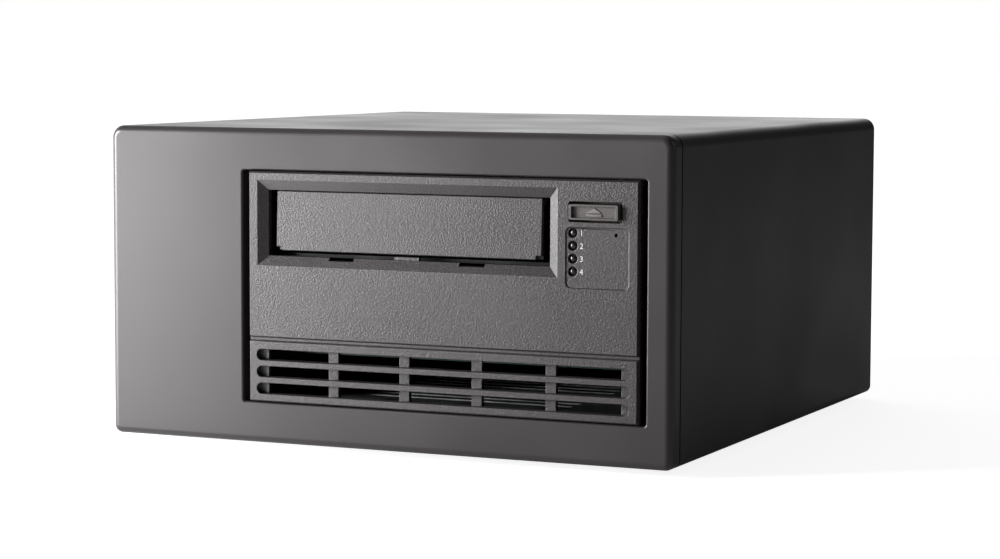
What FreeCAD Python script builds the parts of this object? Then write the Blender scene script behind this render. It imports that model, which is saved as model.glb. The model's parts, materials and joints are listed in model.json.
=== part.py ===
import FreeCAD, Part
import math
import os

import Sketcher

# Desktop data tape drive: a full-height tape unit with a hinged cartridge door, carried in a
# plain sheet-metal case with a moulded front, its own power supply, fan and rear sockets.
#
# Frame: +X is the right-hand side seen from the front, +Y runs from the front to the back and
# +Z is up. The origin is under the middle of the whole, on the surface that it stands on.
# Lengths are millimetres.

SIZES = {
    # case
    "case_width": 221.0,
    "case_height": 114.0,
    "case_depth": 236.0,
    "steel_sheet": 1.2,
    "sheet_gap": 0.2,
    "seam_gap": 0.6,
    "bend_radius": 4.5,
    "hem_radius": 3.0,
    "hem_flat": 1.0,
    "foot_height": 2.5,
    "foot_radius": 8.0,
    "foot_taper": 0.8,
    "foot_inset": 34.0,
    "foot_peg_radius": 2.5,
    "foot_peg_rise": 1.5,
    # moulded front of the case
    "front_depth": 8.0,
    "front_wall": 3.0,
    "front_skirt": 2.6,
    "front_skirt_corner": 2.0,
    "front_lip": 5.0,
    "lip_gap": 0.5,
    "front_round": 2.8,
    "aperture_width": 156.0,
    "aperture_height": 83.9,
    "aperture_offset": -0.45,
    "aperture_corner": 1.0,
    "aperture_round": 0.8,
    "collar_depth": 6.0,
    "collar_wall": 1.8,
    "weld": 0.5,
    "boss_radius": 4.0,
    "boss_bore": 1.3,
    "boss_inset": 13.0,
    "boss_floor": 1.5,
    # base, back and the screws that join them
    "base_bend": 2.0,
    "base_flange_gap": 2.65,
    "base_tab_rise": 6.0,
    "slot_width": 3.0,
    "slot_length": 26.0,
    "slot_pitch": 8.0,
    "slot_margin": 8.0,
    "screw_radius": 1.5,
    "screw_head_radius": 2.8,
    "screw_head_height": 1.6,
    "screw_length": 6.0,
    "hole_play": 0.2,
    "rear_flange": 10.0,
    # tape unit: chassis
    "unit_margin": 87.1,
    "unit_shift": -0.1,
    "unit_width": 146.0,
    "unit_height": 82.5,
    "rear_room": 33.0,
    "unit_wall": 3.0,
    "unit_cover": 1.0,
    "unit_corner": 1.5,
    "unit_inner_corner": 3.0,
    "panel_rise": 0.8,
    "panel_side_margin": 12.0,
    "panel_front_margin": 30.0,
    "panel_back_margin": 15.0,
    "panel_corner": 6.0,
    "panel_draft": -30.0,
    "pan_slot_length": 80.0,
    "pan_slot_start": 20.0,
    "deck_level": 38.0,
    "deck_thickness": 3.0,
    "board_level": 16.0,
    "board_thickness": 1.6,
    "board_margin": 2.0,
    "board_start": 14.0,
    "board_back_gap": 1.0,
    "chip_height": 2.2,
    "solder": 0.2,
    "plug_width": 53.0,
    "plug_depth": 9.0,
    "plug_height": 7.0,
    "plug_offset": -18.5,
    "cable_window_left": 12.0,
    "cable_window_right": 30.0,
    "cable_window_level": 8.0,
    "cable_window_height": 18.0,
    # brackets that carry the tape unit
    "bracket_start": 20.0,
    "bracket_length": 130.0,
    "bracket_rise": 36.0,
    "bracket_foot": 16.0,
    "bracket_screw_inset": 8.0,
    "side_hole_first": 40.0,
    "side_hole_spread": 79.5,
    "side_hole_low": 10.0,
    "side_hole_high": 31.0,
    "side_screw_length": 4.0,
    # face of the tape unit
    "face_width": 149.5,
    "face_height": 82.1,
    "face_raise": 1.4,
    "face_draft": 20.0,
    "face_plate": 3.0,
    "groove_level": 21.4,
    "groove_width": 1.9,
    "throat_offset": -13.1,
    "throat_width": 109.7,
    "throat_level": 52.4,
    "throat_height": 23.6,
    "bevel_width": 3.6,
    "bevel_depth": 2.1,
    "lip_notch_width": 9.7,
    "lip_notch_height": 1.2,
    "lip_notch_spread": 25.5,
    "lip_tab_height": 1.2,
    "lip_tab_setback": 2.3,
    "lip_tab_thickness": 1.6,
    # cartridge door
    "door_width": 103.5,
    "door_level": 54.4,
    "door_height": 21.3,
    "door_thickness": 2.2,
    "door_setback": 0.5,
    "door_lean": 0.8,
    "door_edge": 0.4,
    "door_notch_width": 2.1,
    "door_notch_height": 1.4,
    "door_arm_root": 3.0,
    "door_arm_drop": 4.0,
    "door_arm_bite": 0.6,
    "pivot_level": 78.9,
    "pivot_setback": 5.2,
    "knuckle_radius": 1.8,
    "knuckle_width": 9.0,
    "pin_radius": 0.8,
    "running_gap": 0.05,
    "ear_width": 2.4,
    "ear_gap": 0.4,
    "spring_wire": 0.7,
    "spring_length": 8.0,
    # control panel
    "button_offset": 59.2,
    "button_level": 71.6,
    "button_width": 18.1,
    "button_height": 5.3,
    "button_rise": 1.8,
    "button_gap": 0.85,
    "button_corner": 0.5,
    "button_hole_corner": 1.0,
    "button_rim_side": 1.0,
    "button_rim": 0.7,
    "button_sink": 1.2,
    "button_travel": 1.2,
    "button_flange": 1.5,
    "button_flange_gap": 0.3,
    "button_flange_thickness": 1.2,
    "button_stem_radius": 1.6,
    "sign_half_width": 2.8,
    "sign_height": 1.7,
    "sign_bar": 0.7,
    "sign_gap": 0.5,
    "sign_rise": 0.4,
    "panel_setback": 10.0,
    "panel_margin": 5.0,
    "panel_post_radius": 1.5,
    "panel_post_inset": 2.0,
    "switch_size": 6.0,
    "switch_rise": 1.6,
    "switch_play": 0.1,
    "field_offset": 60.0,
    "field_level": 45.3,
    "field_width": 23.4,
    "field_height": 21.1,
    "field_corner": 2.0,
    "field_depth": 0.4,
    "field_slope": 0.25,
    "lamp_offset": 50.95,
    "lamp_level": 51.1,
    "lamp_pitch": 4.4,
    "lamp_radius": 1.1,
    "lamp_well": 1.6,
    "lamp_well_depth": 1.8,
    "lamp_chamfer": 0.2,
    "lamp_setback": 1.1,
    "lamp_rise": 1.2,
    "lamp_size": 2.0,
    "pinhole_offset": 66.85,
    "pinhole_level": 63.9,
    "pinhole_radius": 0.6,
    # lower grille
    "grille_slot": 4.0,
    "grille_pitch": 6.1,
    "grille_first": 4.4,
    "grille_length": 144.0,
    "grille_post": 4.0,
    "grille_post_pitch": 28.1,
    "grille_post_depth": 2.5,
    "grille_frame": 1.2,
    "grille_top_inset": 2.4,
    "grille_play": 0.2,
    # cartridge bay and loader
    "bay_width": 106.4,
    "bay_length": 102.0,
    "bay_start": 8.0,
    "tray_level": 52.0,
    "tray_sheet": 1.2,
    "tray_height": 23.2,
    "tray_flange": 7.0,
    "tray_flange_start": 26.0,
    "tray_side_drop": 4.0,
    "tray_window": 25.0,
    "tray_travel": 8.0,
    "loader_offset": 60.0,
    "loader_start": 22.0,
    "loader_level": 9.0,
    "loader_radius": 7.0,
    "loader_length": 25.0,
    "worm_radius": 2.5,
    "worm_length": 17.0,
    "loader_foot": 12.0,
    "loader_foot_inset": 3.0,
    # reels, rollers and head on the deck
    "hub_distance": 60.0,
    "motor_radius": 18.0,
    "motor_height": 3.0,
    "rotor_gap": 0.4,
    "spindle_radius": 3.0,
    "spindle_height": 8.0,
    "spindle_boss": 1.8,
    "spindle_play": 2.0,
    "hub_radius": 19.0,
    "hub_height": 5.5,
    "hub_chamfer": 1.0,
    "hub_crown": 12.0,
    "tooth_inner": 8.0,
    "tooth_outer": 11.5,
    "tooth_width": 1.2,
    "tooth_rise": 1.2,
    "reel_clearance": 3.0,
    "reel_flange_width": 20.0,
    "reel_flange": 1.5,
    "reel_web": 3.0,
    "reel_window_margin": 3.5,
    "reel_window_inner": 16.0,
    "reel_window_outer": 22.0,
    "reel_bearing": 7.0,
    "tape_width": 12.8,
    "head_offset": -55.0,
    "head_lead": 29.0,
    "head_level": 7.0,
    "head_height": 12.0,
    "head_half_width": 7.0,
    "head_half_depth": 5.0,
    "head_corner": 1.5,
    "head_slope": 4.0,
    "post_offset": 2.0,
    "post_height": 26.5,
    "post_foot": 3.0,
    "post_foot_width": 16.0,
    "post_foot_depth": 10.0,
    "roller_radius": 4.5,
    "roller_groove": 0.9,
    "roller_rim": 1.0,
    "roller_pin_radius": 1.5,
    "roller_level": 2.6,
    "roller_height": 15.0,
    "roller_collar": 1.0,
    "roller_collar_height": 2.2,
    "roller_near": 10.5,
    "roller_far": 22.0,
    "roller_near_offset": 9.0,
    "roller_far_offset": 6.0,
    # power supply
    "supply_inset": 1.0,
    "supply_gap": 3.5,
    "supply_wall": 1.0,
    "supply_corner": 1.5,
    "supply_start": 34.0,
    "supply_depth": 150.0,
    "supply_lift": 6.0,
    "supply_headroom": 18.8,
    "supply_opening": 0.5,
    "supply_vent_side": 8.0,
    "supply_vent_end": 12.0,
    "supply_vent_middle": 70.0,
    "supply_margin": 5.0,
    "supply_foot": 4.0,
    "supply_foot_side": 6.0,
    "supply_foot_end": 12.0,
    "board_stand": 5.0,
    "stand_radius": 2.0,
    "core_fill": 0.61,
    "sink_fill": 0.75,
    "can_fill": 0.7,
    "core_start": 50.0,
    "core_length": 36.0,
    "core_height": 34.0,
    "winding_reach": 5.0,
    "winding_share": 0.42,
    "sink_start": 95.0,
    "sink_plate": 2.0,
    "sink_margin": 14.0,
    "fin_reach": 8.0,
    "sink_foot": 0.9,
    "fin_thickness": 1.2,
    # rear sockets, switch and fan
    "inlet_width": 27.0,
    "inlet_height": 20.0,
    "inlet_rim": 2.0,
    "inlet_flange": 2.0,
    "inlet_depth": 17.0,
    "inlet_cavity": 15.5,
    "inlet_cavity_width": 24.4,
    "inlet_cavity_height": 16.4,
    "inlet_cavity_cut": 4.6,
    "inlet_corner": 1.0,
    "inlet_cavity_corner": 0.8,
    "inlet_pin_width": 2.0,
    "inlet_pin_height": 4.0,
    "inlet_pin_setback": 3.0,
    "inlet_pin_tail": 6.0,
    "inlet_pin_spread": 7.0,
    "inlet_pin_low": -1.0,
    "inlet_pin_high": 3.0,
    "inlet_inset": 30.5,
    "inlet_level": 34.0,
    "panel_play": 0.1,
    "switch_width": 13.0,
    "switch_height": 19.2,
    "switch_level": 70.0,
    "switch_depth": 14.0,
    "switch_flange": 1.6,
    "switch_rim": 1.2,
    "switch_wall": 1.3,
    "switch_pocket": 8.0,
    "switch_corner": 0.5,
    "rocker_back": 2.6,
    "rocker_taper": 1.2,
    "rocker_rise": 3.4,
    "rocker_waist": 2.2,
    "rocker_play": 0.3,
    "rocker_end_play": 0.9,
    "rocker_setback": 2.0,
    "rocker_pin_radius": 1.2,
    "rocker_tilt": -8.0,
    "fan_size": 60.0,
    "fan_thickness": 15.0,
    "fan_corner": 4.0,
    "fan_bore": 28.5,
    "fan_hub": 13.0,
    "fan_hole_pitch": 50.0,
    "fan_inset": 44.5,
    "fan_level": 58.0,
    "fan_arm": 3.0,
    "fan_arm_thickness": 2.5,
    "fan_pin_radius": 2.0,
    "fan_pin_length": 5.5,
    "fan_blade_gap": 1.6,
    "fan_rotor_gap": 0.5,
    "fan_crown": 1.5,
    "fan_web": 4.0,
    "fan_screw_length": 12.0,
    "blade_bite": 0.6,
    "guard_sheet": 1.2,
    "guard_rib": 1.8,
    "guard_pitch": 6.2,
    "guard_eye": 3.4,
    "vent_length": 44.0,
    "vent_pitch": 5.0,
    "vent_drop": 6.8,
    "socket_width": 44.0,
    "socket_height": 7.0,
    "socket_slant": 1.6,
    "socket_corner": 1.2,
    "socket_wall": 0.6,
    "socket_reach": 4.0,
    "socket_depth": 8.0,
    "socket_play": 0.4,
    "socket_plate": 1.5,
    "socket_plate_margin": 8.0,
    "socket_tongue_width": 38.5,
    "socket_tongue": 3.6,
    "socket_tongue_setback": 0.5,
    "socket_level": 34.0,
    "socket_pitch": 30.0,
    "jack_spacing": 56.0,
    "jack_radius": 2.8,
    "jack_bore": 1.25,
    "jack_length": 4.8,
    "jack_floor": 0.3,
    "jack_stud": 6.0,
}

# chips on the unit's board: across from its middle, along from its front end, and their width
CHIPS = ((-30.0, 40.0, 28.0), (12.0, 36.0, 22.0), (42.0, 60.0, 16.0), (-38.0, 100.0, 18.0), (0.0, 96.0, 24.0))
# capacitors: along from the supply's front, up from its middle, and their radius
CAPACITORS = ((25.0, -14.0, 11.0), (25.0, 14.0, 11.0), (120.0, -14.0, 6.0), (120.0, 2.0, 6.0))
# a fan blade's section: across, and along the axis as a share of half the rotor's length
BLADE = ((-5.0, -0.9), (-3.8, -0.9), (1.0, -0.2), (4.6, 0.9), (3.2, 0.9), (-0.6, 0.0))
FAN_ARMS = (30.0, 150.0, 270.0)
FAN_BLADES = 7
GUARD_RINGS = 4
LAMPS = 4
BASE_SLOTS = 14
PAN_SLOTS = 8
REAR_VENTS = 3
SUPPLY_SLOTS = 9
SINK_FINS = 4
GRILLE_SLOTS = 3
GRILLE_POSTS = 6
HUB_TEETH = 12
REEL_WINDOWS = 3


class Size(float):
    """A length that carries the sheet formula it comes from through arithmetic."""

    def __new__(cls, value, text):
        size = float.__new__(cls, value)
        size.text = text
        return size

    def __add__(self, other):
        return Size(float(self) + float(other), "(%s + %s)" % (self.text, text_of(other)))

    def __radd__(self, other):
        return Size(float(other) + float(self), "(%s + %s)" % (text_of(other), self.text))

    def __sub__(self, other):
        return Size(float(self) - float(other), "(%s - %s)" % (self.text, text_of(other)))

    def __rsub__(self, other):
        return Size(float(other) - float(self), "(%s - %s)" % (text_of(other), self.text))

    def __mul__(self, other):
        return Size(float(self) * float(other), "(%s * %s)" % (self.text, text_of(other)))

    __rmul__ = __mul__

    def __truediv__(self, other):
        return Size(float(self) / float(other), "(%s / %s)" % (self.text, text_of(other)))

    def __neg__(self):
        return Size(-float(self), "(-1 * %s)" % self.text)


def text_of(number):
    """The formula of a sheet length, or a plain number written out."""
    return number.text if isinstance(number, Size) else repr(float(number))


def set_length(owner, path, number):
    """Binds a property to its sheet formula; a plain number is set as it is."""
    if isinstance(number, Size):
        owner.setExpression(path, number.text)
    elif "." not in path:
        setattr(owner, path, float(number))
    elif number:
        owner.setExpression(path, repr(float(number)))


doc = FreeCAD.newDocument("TapeDrive")
sheet = doc.addObject("Spreadsheet::Sheet", "Sizes")
for row, (alias, value) in enumerate(SIZES.items(), start=1):
    sheet.set("A%d" % row, alias)
    sheet.set("B%d" % row, str(value))
    sheet.setAlias("B%d" % row, alias)
doc.recompute()


class S:
    """The sheet's lengths by name, such as S.case_width."""


for alias, value in SIZES.items():
    setattr(S, alias, Size(value, "Sizes." + alias))


# ---------------------------------------------------------------- outlines for sketches

def hold(sketch, geometry, point, x, y):
    """Fixes a point of a sketch at x, y from the sketch's origin."""
    for kind, length in (("DistanceX", x), ("DistanceY", y)):
        spot = Sketcher.Constraint(kind, -1, 1, geometry, point, float(length))
        index = sketch.addConstraint(spot)
        if isinstance(length, Size):
            sketch.setExpression("Constraints[%d]" % index, length.text)


def hold_radius(sketch, geometry, radius):
    """Fixes the radius of an arc or circle."""
    index = sketch.addConstraint(Sketcher.Constraint("Radius", geometry, float(radius)))
    if isinstance(radius, Size):
        sketch.setExpression("Constraints[%d]" % index, radius.text)


def circle(x, y, radius):
    """A drawing of one circle."""
    def draw(sketch):
        ring = Part.Circle(FreeCAD.Vector(x, y, 0), FreeCAD.Vector(0, 0, 1), float(radius))
        index = sketch.addGeometry(ring, False)
        hold(sketch, index, 3, x, y)
        hold_radius(sketch, index, radius)
    return draw


def outline(*corners):
    """A drawing of a closed outline; a corner is (x, y), or (x, y, radius) where it is rounded."""
    def draw(sketch):
        spots = [FreeCAD.Vector(float(c[0]), float(c[1]), 0) for c in corners]
        joints = []
        for index, corner in enumerate(corners):
            here = spots[index]
            back = (spots[index - 1] - here).normalize()
            ahead = (spots[(index + 1) % len(corners)] - here).normalize()
            if len(corner) < 3:
                joints.append((here, here, here))
                continue
            half = back.getAngle(ahead) / 2
            reach = float(corner[2]) / math.tan(half)
            inward = (back + ahead).normalize()
            apex = here + inward * (float(corner[2]) / math.sin(half) - float(corner[2]))
            joints.append((here + back * reach, apex, here + ahead * reach))
        lines = []
        for index, joint in enumerate(joints):
            following = joints[(index + 1) % len(joints)]
            side = Part.LineSegment(joint[2], following[0])
            lines.append(sketch.addGeometry(side, False))
        for index, corner in enumerate(corners):
            before = lines[index - 1]
            after = lines[index]
            if len(corner) < 3:
                sketch.addConstraint(Sketcher.Constraint("Coincident", before, 2, after, 1))
                hold(sketch, after, 1, corner[0], corner[1])
                continue
            enter, apex, leave = joints[index]
            # a sketch's arcs run anticlockwise, so an outline that turns the other way swaps ends
            anticlockwise = (apex - enter).cross(leave - apex).z > 0
            first = 1 if anticlockwise else 2
            ends = (enter, apex, leave) if anticlockwise else (leave, apex, enter)
            bend = sketch.addGeometry(Part.Arc(*ends), False)
            sketch.addConstraint(Sketcher.Constraint("Tangent", before, 2, bend, first))
            sketch.addConstraint(Sketcher.Constraint("Tangent", after, 1, bend, 3 - first))
            hold_radius(sketch, bend, corner[2])
            tip = sketch.addGeometry(Part.Point(spots[index]), True)
            hold(sketch, tip, 1, corner[0], corner[1])
            sketch.addConstraint(Sketcher.Constraint("PointOnObject", tip, 1, before))
            sketch.addConstraint(Sketcher.Constraint("PointOnObject", tip, 1, after))
    return draw


def rectangle(left, right, low, high, radius=None, high_radius=None):
    """A drawing of an upright rectangle, rounded where a radius is given for all or its top corners."""
    low_bend = () if radius is None else (radius,)
    high_bend = low_bend if high_radius is None else (high_radius,)
    return outline((left, low, *low_bend), (right, low, *low_bend),
                   (right, high, *high_bend), (left, high, *high_bend))


def centred(x, y, width, height, radius=None):
    """A drawing of a rectangle about its centre."""
    return rectangle(x - width / 2, x + width / 2, y - height / 2, y + height / 2, radius)


def slot(left, right, y, radius):
    """A drawing of a level slot with round ends."""
    def draw(sketch):
        up = FreeCAD.Vector(0, radius, 0)
        side = FreeCAD.Vector(radius, 0, 0)
        start = FreeCAD.Vector(left + radius, y, 0)
        stop = FreeCAD.Vector(right - radius, y, 0)
        low = sketch.addGeometry(Part.LineSegment(start - up, stop - up), False)
        end = sketch.addGeometry(Part.Arc(stop - up, stop + side, stop + up), False)
        high = sketch.addGeometry(Part.LineSegment(stop + up, start + up), False)
        tail = sketch.addGeometry(Part.Arc(start + up, start - side, start - up), False)
        for before, after in ((low, end), (end, high), (high, tail), (tail, low)):
            sketch.addConstraint(Sketcher.Constraint("Tangent", before, 2, after, 1))
        hold(sketch, end, 3, right - radius, y)
        hold(sketch, tail, 3, left + radius, y)
        hold_radius(sketch, end, radius)
    return draw


# ---------------------------------------------------------------- sub-parts as bodies

# A sketch on the XZ plane faces -Y, so its lengths along +Y run against its normal.
ALONG = {"XY": 1, "YZ": 1, "XZ": -1}
PIECES = []


class Piece:
    """One sub-part: a PartDesign body that is built up feature by feature."""

    def __init__(self, name):
        self.body = doc.addObject("PartDesign::Body", name)
        self.body.Label = name
        self.steps = 0
        PIECES.append(self.body)

    def add(self, kind, role):
        """Adds a feature to the body, named after the body and its role."""
        self.steps += 1
        return self.body.newObject(kind, "%s_%s_%d" % (self.body.Name, role, self.steps))

    def sketch(self, plane, level, drawings):
        """A sketch on one of the body's origin planes, moved along it to a level."""
        drawn = self.add("Sketcher::SketchObject", "sketch")
        role = plane + "_Plane"
        support = [item for item in self.body.Origin.OriginFeatures if item.Role == role][0]
        drawn.AttachmentSupport = [(support, "")]
        drawn.MapMode = "FlatFace"
        set_length(drawn, "AttachmentOffset.Base.z", level * ALONG[plane])
        for draw in drawings:
            draw(drawn)
        drawn.solve()
        return drawn

    def pad(self, plane, start, stop, *drawings, draft=None):
        """Adds material from start to stop along the plane's axis."""
        profile = self.sketch(plane, start, drawings)
        feature = self.add("PartDesign::Pad", "pad")
        feature.Profile = profile
        feature.Reversed = ALONG[plane] < 0
        set_length(feature, "Length", stop - start)
        if draft is not None:
            set_length(feature, "TaperAngle", draft)
        return feature

    def emboss(self, level, rise, draft, drawing):
        """Raises a field towards -Y from a level, with sides that lean inwards."""
        feature = self.add("PartDesign::Pad", "emboss")
        feature.Profile = self.sketch("XZ", level, [drawing])
        set_length(feature, "Length", rise)
        set_length(feature, "TaperAngle", -draft)
        return feature

    def cut(self, plane, start, stop, *drawings):
        """Removes material from start to stop along the plane's axis."""
        profile = self.sketch(plane, start, drawings)
        feature = self.add("PartDesign::Pocket", "pocket")
        feature.Profile = profile
        feature.Reversed = ALONG[plane] > 0
        set_length(feature, "Length", stop - start)
        return feature

    def turn(self, *drawings):
        """Revolves profiles, drawn as (radius, height), about the body's Z axis."""
        profile = self.sketch("XZ", 0, drawings)
        feature = self.add("PartDesign::Revolution", "revolution")
        feature.Profile = profile
        feature.ReferenceAxis = (profile, ["V_Axis"])
        feature.Angle = 360.0
        return feature

    def funnel(self, plane, start, mouth, stop, neck):
        """Cuts a tapering opening between two drawings."""
        wide = self.sketch(plane, start, [mouth])
        narrow = self.sketch(plane, stop, [neck])
        feature = self.add("PartDesign::SubtractiveLoft", "funnel")
        feature.Profile = wide
        feature.Sections = [narrow]
        feature.Ruled = True
        return feature

    def edges(self, test):
        """Names of the edges of the latest shape that a test accepts."""
        doc.recompute()
        found = self.body.Tip.Shape.Edges
        return ["Edge%d" % (index + 1) for index, edge in enumerate(found) if test(edge)]

    def fillet(self, radius, test):
        """Rounds the chosen edges."""
        names = self.edges(test)
        feature_base = self.body.Tip
        feature = self.add("PartDesign::Fillet", "fillet")
        feature.Base = (feature_base, names)
        set_length(feature, "Radius", radius)
        return feature

    def chamfer(self, width, test):
        """Bevels the chosen edges."""
        names = self.edges(test)
        feature_base = self.body.Tip
        feature = self.add("PartDesign::Chamfer", "chamfer")
        feature.Base = (feature_base, names)
        set_length(feature, "Size", width)
        return feature

    def ring(self, features, count):
        """Repeats features evenly about the body's Z axis."""
        axis = [item for item in self.body.Origin.OriginFeatures if item.Role == "Z_Axis"][0]
        feature = self.add("PartDesign::PolarPattern", "ring")
        feature.Originals = features
        feature.Axis = (axis, [""])
        feature.Angle = 360.0
        feature.Occurrences = int(count)
        self.body.Tip = feature
        return feature

    def row(self, features, axis, pitch, count):
        """Repeats features in a straight row."""
        role = axis + "_Axis"
        line = [item for item in self.body.Origin.OriginFeatures if item.Role == role][0]
        feature = self.add("PartDesign::LinearPattern", "row")
        feature.Originals = features
        feature.Direction = (line, [""])
        feature.Occurrences = int(count)
        set_length(feature, "Length", pitch * (count - 1))
        self.body.Tip = feature
        return feature

    def place(self, x, y, z, axis="Z"):
        """Puts a body that was drawn about its own Z axis at a point, along an axis."""
        turns = {"Z": (1, 0, 0, 0), "Y": (1, 0, 0, -90), "X": (0, 1, 0, 90)}
        across, up, along, angle = turns[axis]
        spin = FreeCAD.Rotation(FreeCAD.Vector(across, up, along), angle)
        self.body.Placement = FreeCAD.Placement(FreeCAD.Vector(x, y, z), spin)
        set_length(self.body, "Placement.Base.x", x)
        set_length(self.body, "Placement.Base.y", y)
        set_length(self.body, "Placement.Base.z", z)


# ---------------------------------------------------------------- sub-parts as primitives

def block(left, right, front, back, bottom, top):
    """A box between six planes."""
    solid = doc.addObject("Part::Box", "block")
    set_length(solid, "Length", right - left)
    set_length(solid, "Width", back - front)
    set_length(solid, "Height", top - bottom)
    set_length(solid, "Placement.Base.x", left)
    set_length(solid, "Placement.Base.y", front)
    set_length(solid, "Placement.Base.z", bottom)
    return solid


TURNS = {
    "+Z": ((0, 0, 1), 0),
    "-Z": ((1, 0, 0), 180),
    "+Y": ((1, 0, 0), -90),
    "-Y": ((1, 0, 0), 90),
    "+X": ((0, 1, 0), 90),
    "-X": ((0, 1, 0), -90),
}


def orient(solid, x, y, z, way):
    """Moves a primitive to a point with its own Z axis pointing a given way."""
    axis, angle = TURNS[way]
    spin = FreeCAD.Rotation(FreeCAD.Vector(*axis), angle)
    solid.Placement = FreeCAD.Placement(FreeCAD.Vector(x, y, z), spin)
    set_length(solid, "Placement.Base.x", x)
    set_length(solid, "Placement.Base.y", y)
    set_length(solid, "Placement.Base.z", z)
    return solid


def rod(x, y, z, way, radius, length):
    """A cylinder that starts at a point and runs a given way."""
    solid = doc.addObject("Part::Cylinder", "rod")
    set_length(solid, "Radius", radius)
    set_length(solid, "Height", length)
    return orient(solid, x, y, z, way)


def hexagon(x, y, z, way, radius, length):
    """A six-sided prism that starts at a point and runs a given way."""
    solid = doc.addObject("Part::Prism", "hexagon")
    solid.Polygon = 6
    set_length(solid, "Circumradius", radius)
    set_length(solid, "Height", length)
    return orient(solid, x, y, z, way)


def fuse(*solids):
    """Several solids joined into one."""
    joined = doc.addObject("Part::MultiFuse", "fuse")
    joined.Shapes = list(solids)
    return joined


def carve(base, *tools):
    """A solid with others removed from it."""
    left = base
    for tool in tools:
        cut = doc.addObject("Part::Cut", "carve")
        cut.Base = left
        cut.Tool = tool
        left = cut
    return left


def finish(name, solid):
    """Names a finished primitive as a sub-part."""
    solid.Label = name
    PIECES.append(solid)
    return solid


def group(name, solids):
    """Several separate solids that share one sub-part."""
    gathered = doc.addObject("Part::Compound", name)
    gathered.Links = list(solids)
    return finish(name, gathered)


def screw(x, y, z, way, radius, length):
    """A pan-head screw whose shank runs a given way from under its head."""
    opposite = ("-" if way[0] == "+" else "+") + way[1]
    head = rod(x, y, z, opposite, S.screw_head_radius, S.screw_head_height)
    shank = rod(x, y, z, way, radius, length)
    return fuse(head, shank)


# ---------------------------------------------------------------- places

half = S.case_width / 2
front = (S.face_raise + S.button_rise - S.case_depth - S.jack_length + S.steel_sheet) / 2
rear = front + S.case_depth
bottom = S.foot_height
top = bottom + S.case_height
seam = front + S.front_depth
panel_back = rear - S.steel_sheet
panel_front = panel_back - S.steel_sheet
inner_half = half - S.steel_sheet - S.sheet_gap
base_half = half - S.hem_radius - S.hem_flat - S.sheet_gap
base_top = bottom + S.steel_sheet
base_stop = seam + S.front_lip + S.lip_gap

unit_x = half - S.unit_margin
unit_z = bottom + S.case_height / 2 + S.unit_shift
unit_bottom = unit_z - S.unit_height / 2
unit_left = unit_x - S.unit_width / 2
unit_right = unit_x + S.unit_width / 2
unit_front = front + S.face_plate
unit_back = rear - S.rear_room
room_left = unit_left + S.unit_wall
room_right = unit_right - S.unit_wall
room_back = unit_back - S.unit_wall
deck_top = unit_bottom + S.deck_level + S.deck_thickness
flange_top = unit_bottom - S.base_flange_gap

aperture_x = unit_x + S.aperture_offset
face_bottom = unit_z - S.face_height / 2
face_y = front - S.face_raise
throat_x = unit_x + S.throat_offset
throat_bottom = face_bottom + S.throat_level
throat_top = throat_bottom + S.throat_height
pivot_y = front + S.pivot_setback
pivot_z = face_bottom + S.pivot_level
button_back = unit_front + S.button_flange_gap
panel_board_y = unit_front + S.panel_setback

tray_start = front + S.bay_start
tray_stop = tray_start + S.bay_length
tray_bottom = unit_bottom + S.tray_level
hub_y = front + S.hub_distance
head_x = unit_x + S.head_offset
head_y = tray_stop + S.head_lead
reel_x = (head_x + S.head_half_depth + room_right) / 2
reel_y = (tray_stop + room_back) / 2
reel_radius = (room_back - tray_stop) / 2 - S.reel_clearance

supply_left = -base_half + S.steel_sheet + S.supply_inset
supply_right = unit_left - S.steel_sheet - S.supply_gap - S.supply_wall
supply_front = front + S.supply_start
supply_back = supply_front + S.supply_depth
supply_bottom = base_top + S.supply_lift
supply_top = top - S.supply_headroom

inlet_x = -half + S.inlet_inset
fan_x = half - S.fan_inset
fan_z = bottom + S.fan_level
socket_x = (inlet_x + S.inlet_width / 2 + fan_x - S.fan_size / 2) / 2
socket_levels = [bottom + S.socket_level + S.socket_pitch * step for step in range(2)]


def lies_on(edge, axis, level, slack=0.01):
    """True for an edge that lies wholly in a plane square to an axis."""
    bounds = edge.BoundBox
    low = getattr(bounds, axis + "Min")
    high = getattr(bounds, axis + "Max")
    return abs(low - level) < slack and abs(high - level) < slack


def cover_screw_places():
    """Where the three screws of the cover's rear flange sit: across the case and their level."""
    spread = half - S.boss_inset
    level = top - S.steel_sheet - S.rear_flange / 2
    return [(x, level) for x in (-spread, 0.0, spread)]


def foot_places():
    """Centres of the four feet."""
    across = half - S.foot_inset
    return [(x, y) for x in (-across, across) for y in (front + S.foot_inset, rear - S.foot_inset)]


def side_hole_distances():
    """How far behind its front the tape unit has holes in its sides."""
    return (S.side_hole_first, S.side_hole_first + S.side_hole_spread)


def side_hole_places():
    """The mounting holes in each side of the tape unit: their Y and Z."""
    return [(unit_front + distance, unit_bottom + level)
            for distance in side_hole_distances() for level in (S.side_hole_low, S.side_hole_high)]


def bracket_screw_places():
    """Where the brackets' feet are screwed to the base."""
    return [(x, unit_front + distance)
            for x in (unit_left + S.bracket_screw_inset, unit_right - S.bracket_screw_inset)
            for distance in side_hole_distances()]


def roller_places():
    """Where the four guide rollers stand, two on each side of the head."""
    near = head_x - S.roller_near_offset
    far = head_x - S.roller_far_offset
    return [(far, head_y - S.roller_far), (near, head_y - S.roller_near),
            (near, head_y + S.roller_near), (far, head_y + S.roller_far)]


def fan_screw_places():
    """Corners of the fan's hole pattern."""
    reach = S.fan_hole_pitch / 2
    return [(x, z) for x in (fan_x - reach, fan_x + reach) for z in (fan_z - reach, fan_z + reach)]


def jack_places():
    """Where the two jack screws of a data socket stand across the case."""
    return [socket_x - S.jack_spacing / 2, socket_x + S.jack_spacing / 2]


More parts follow.
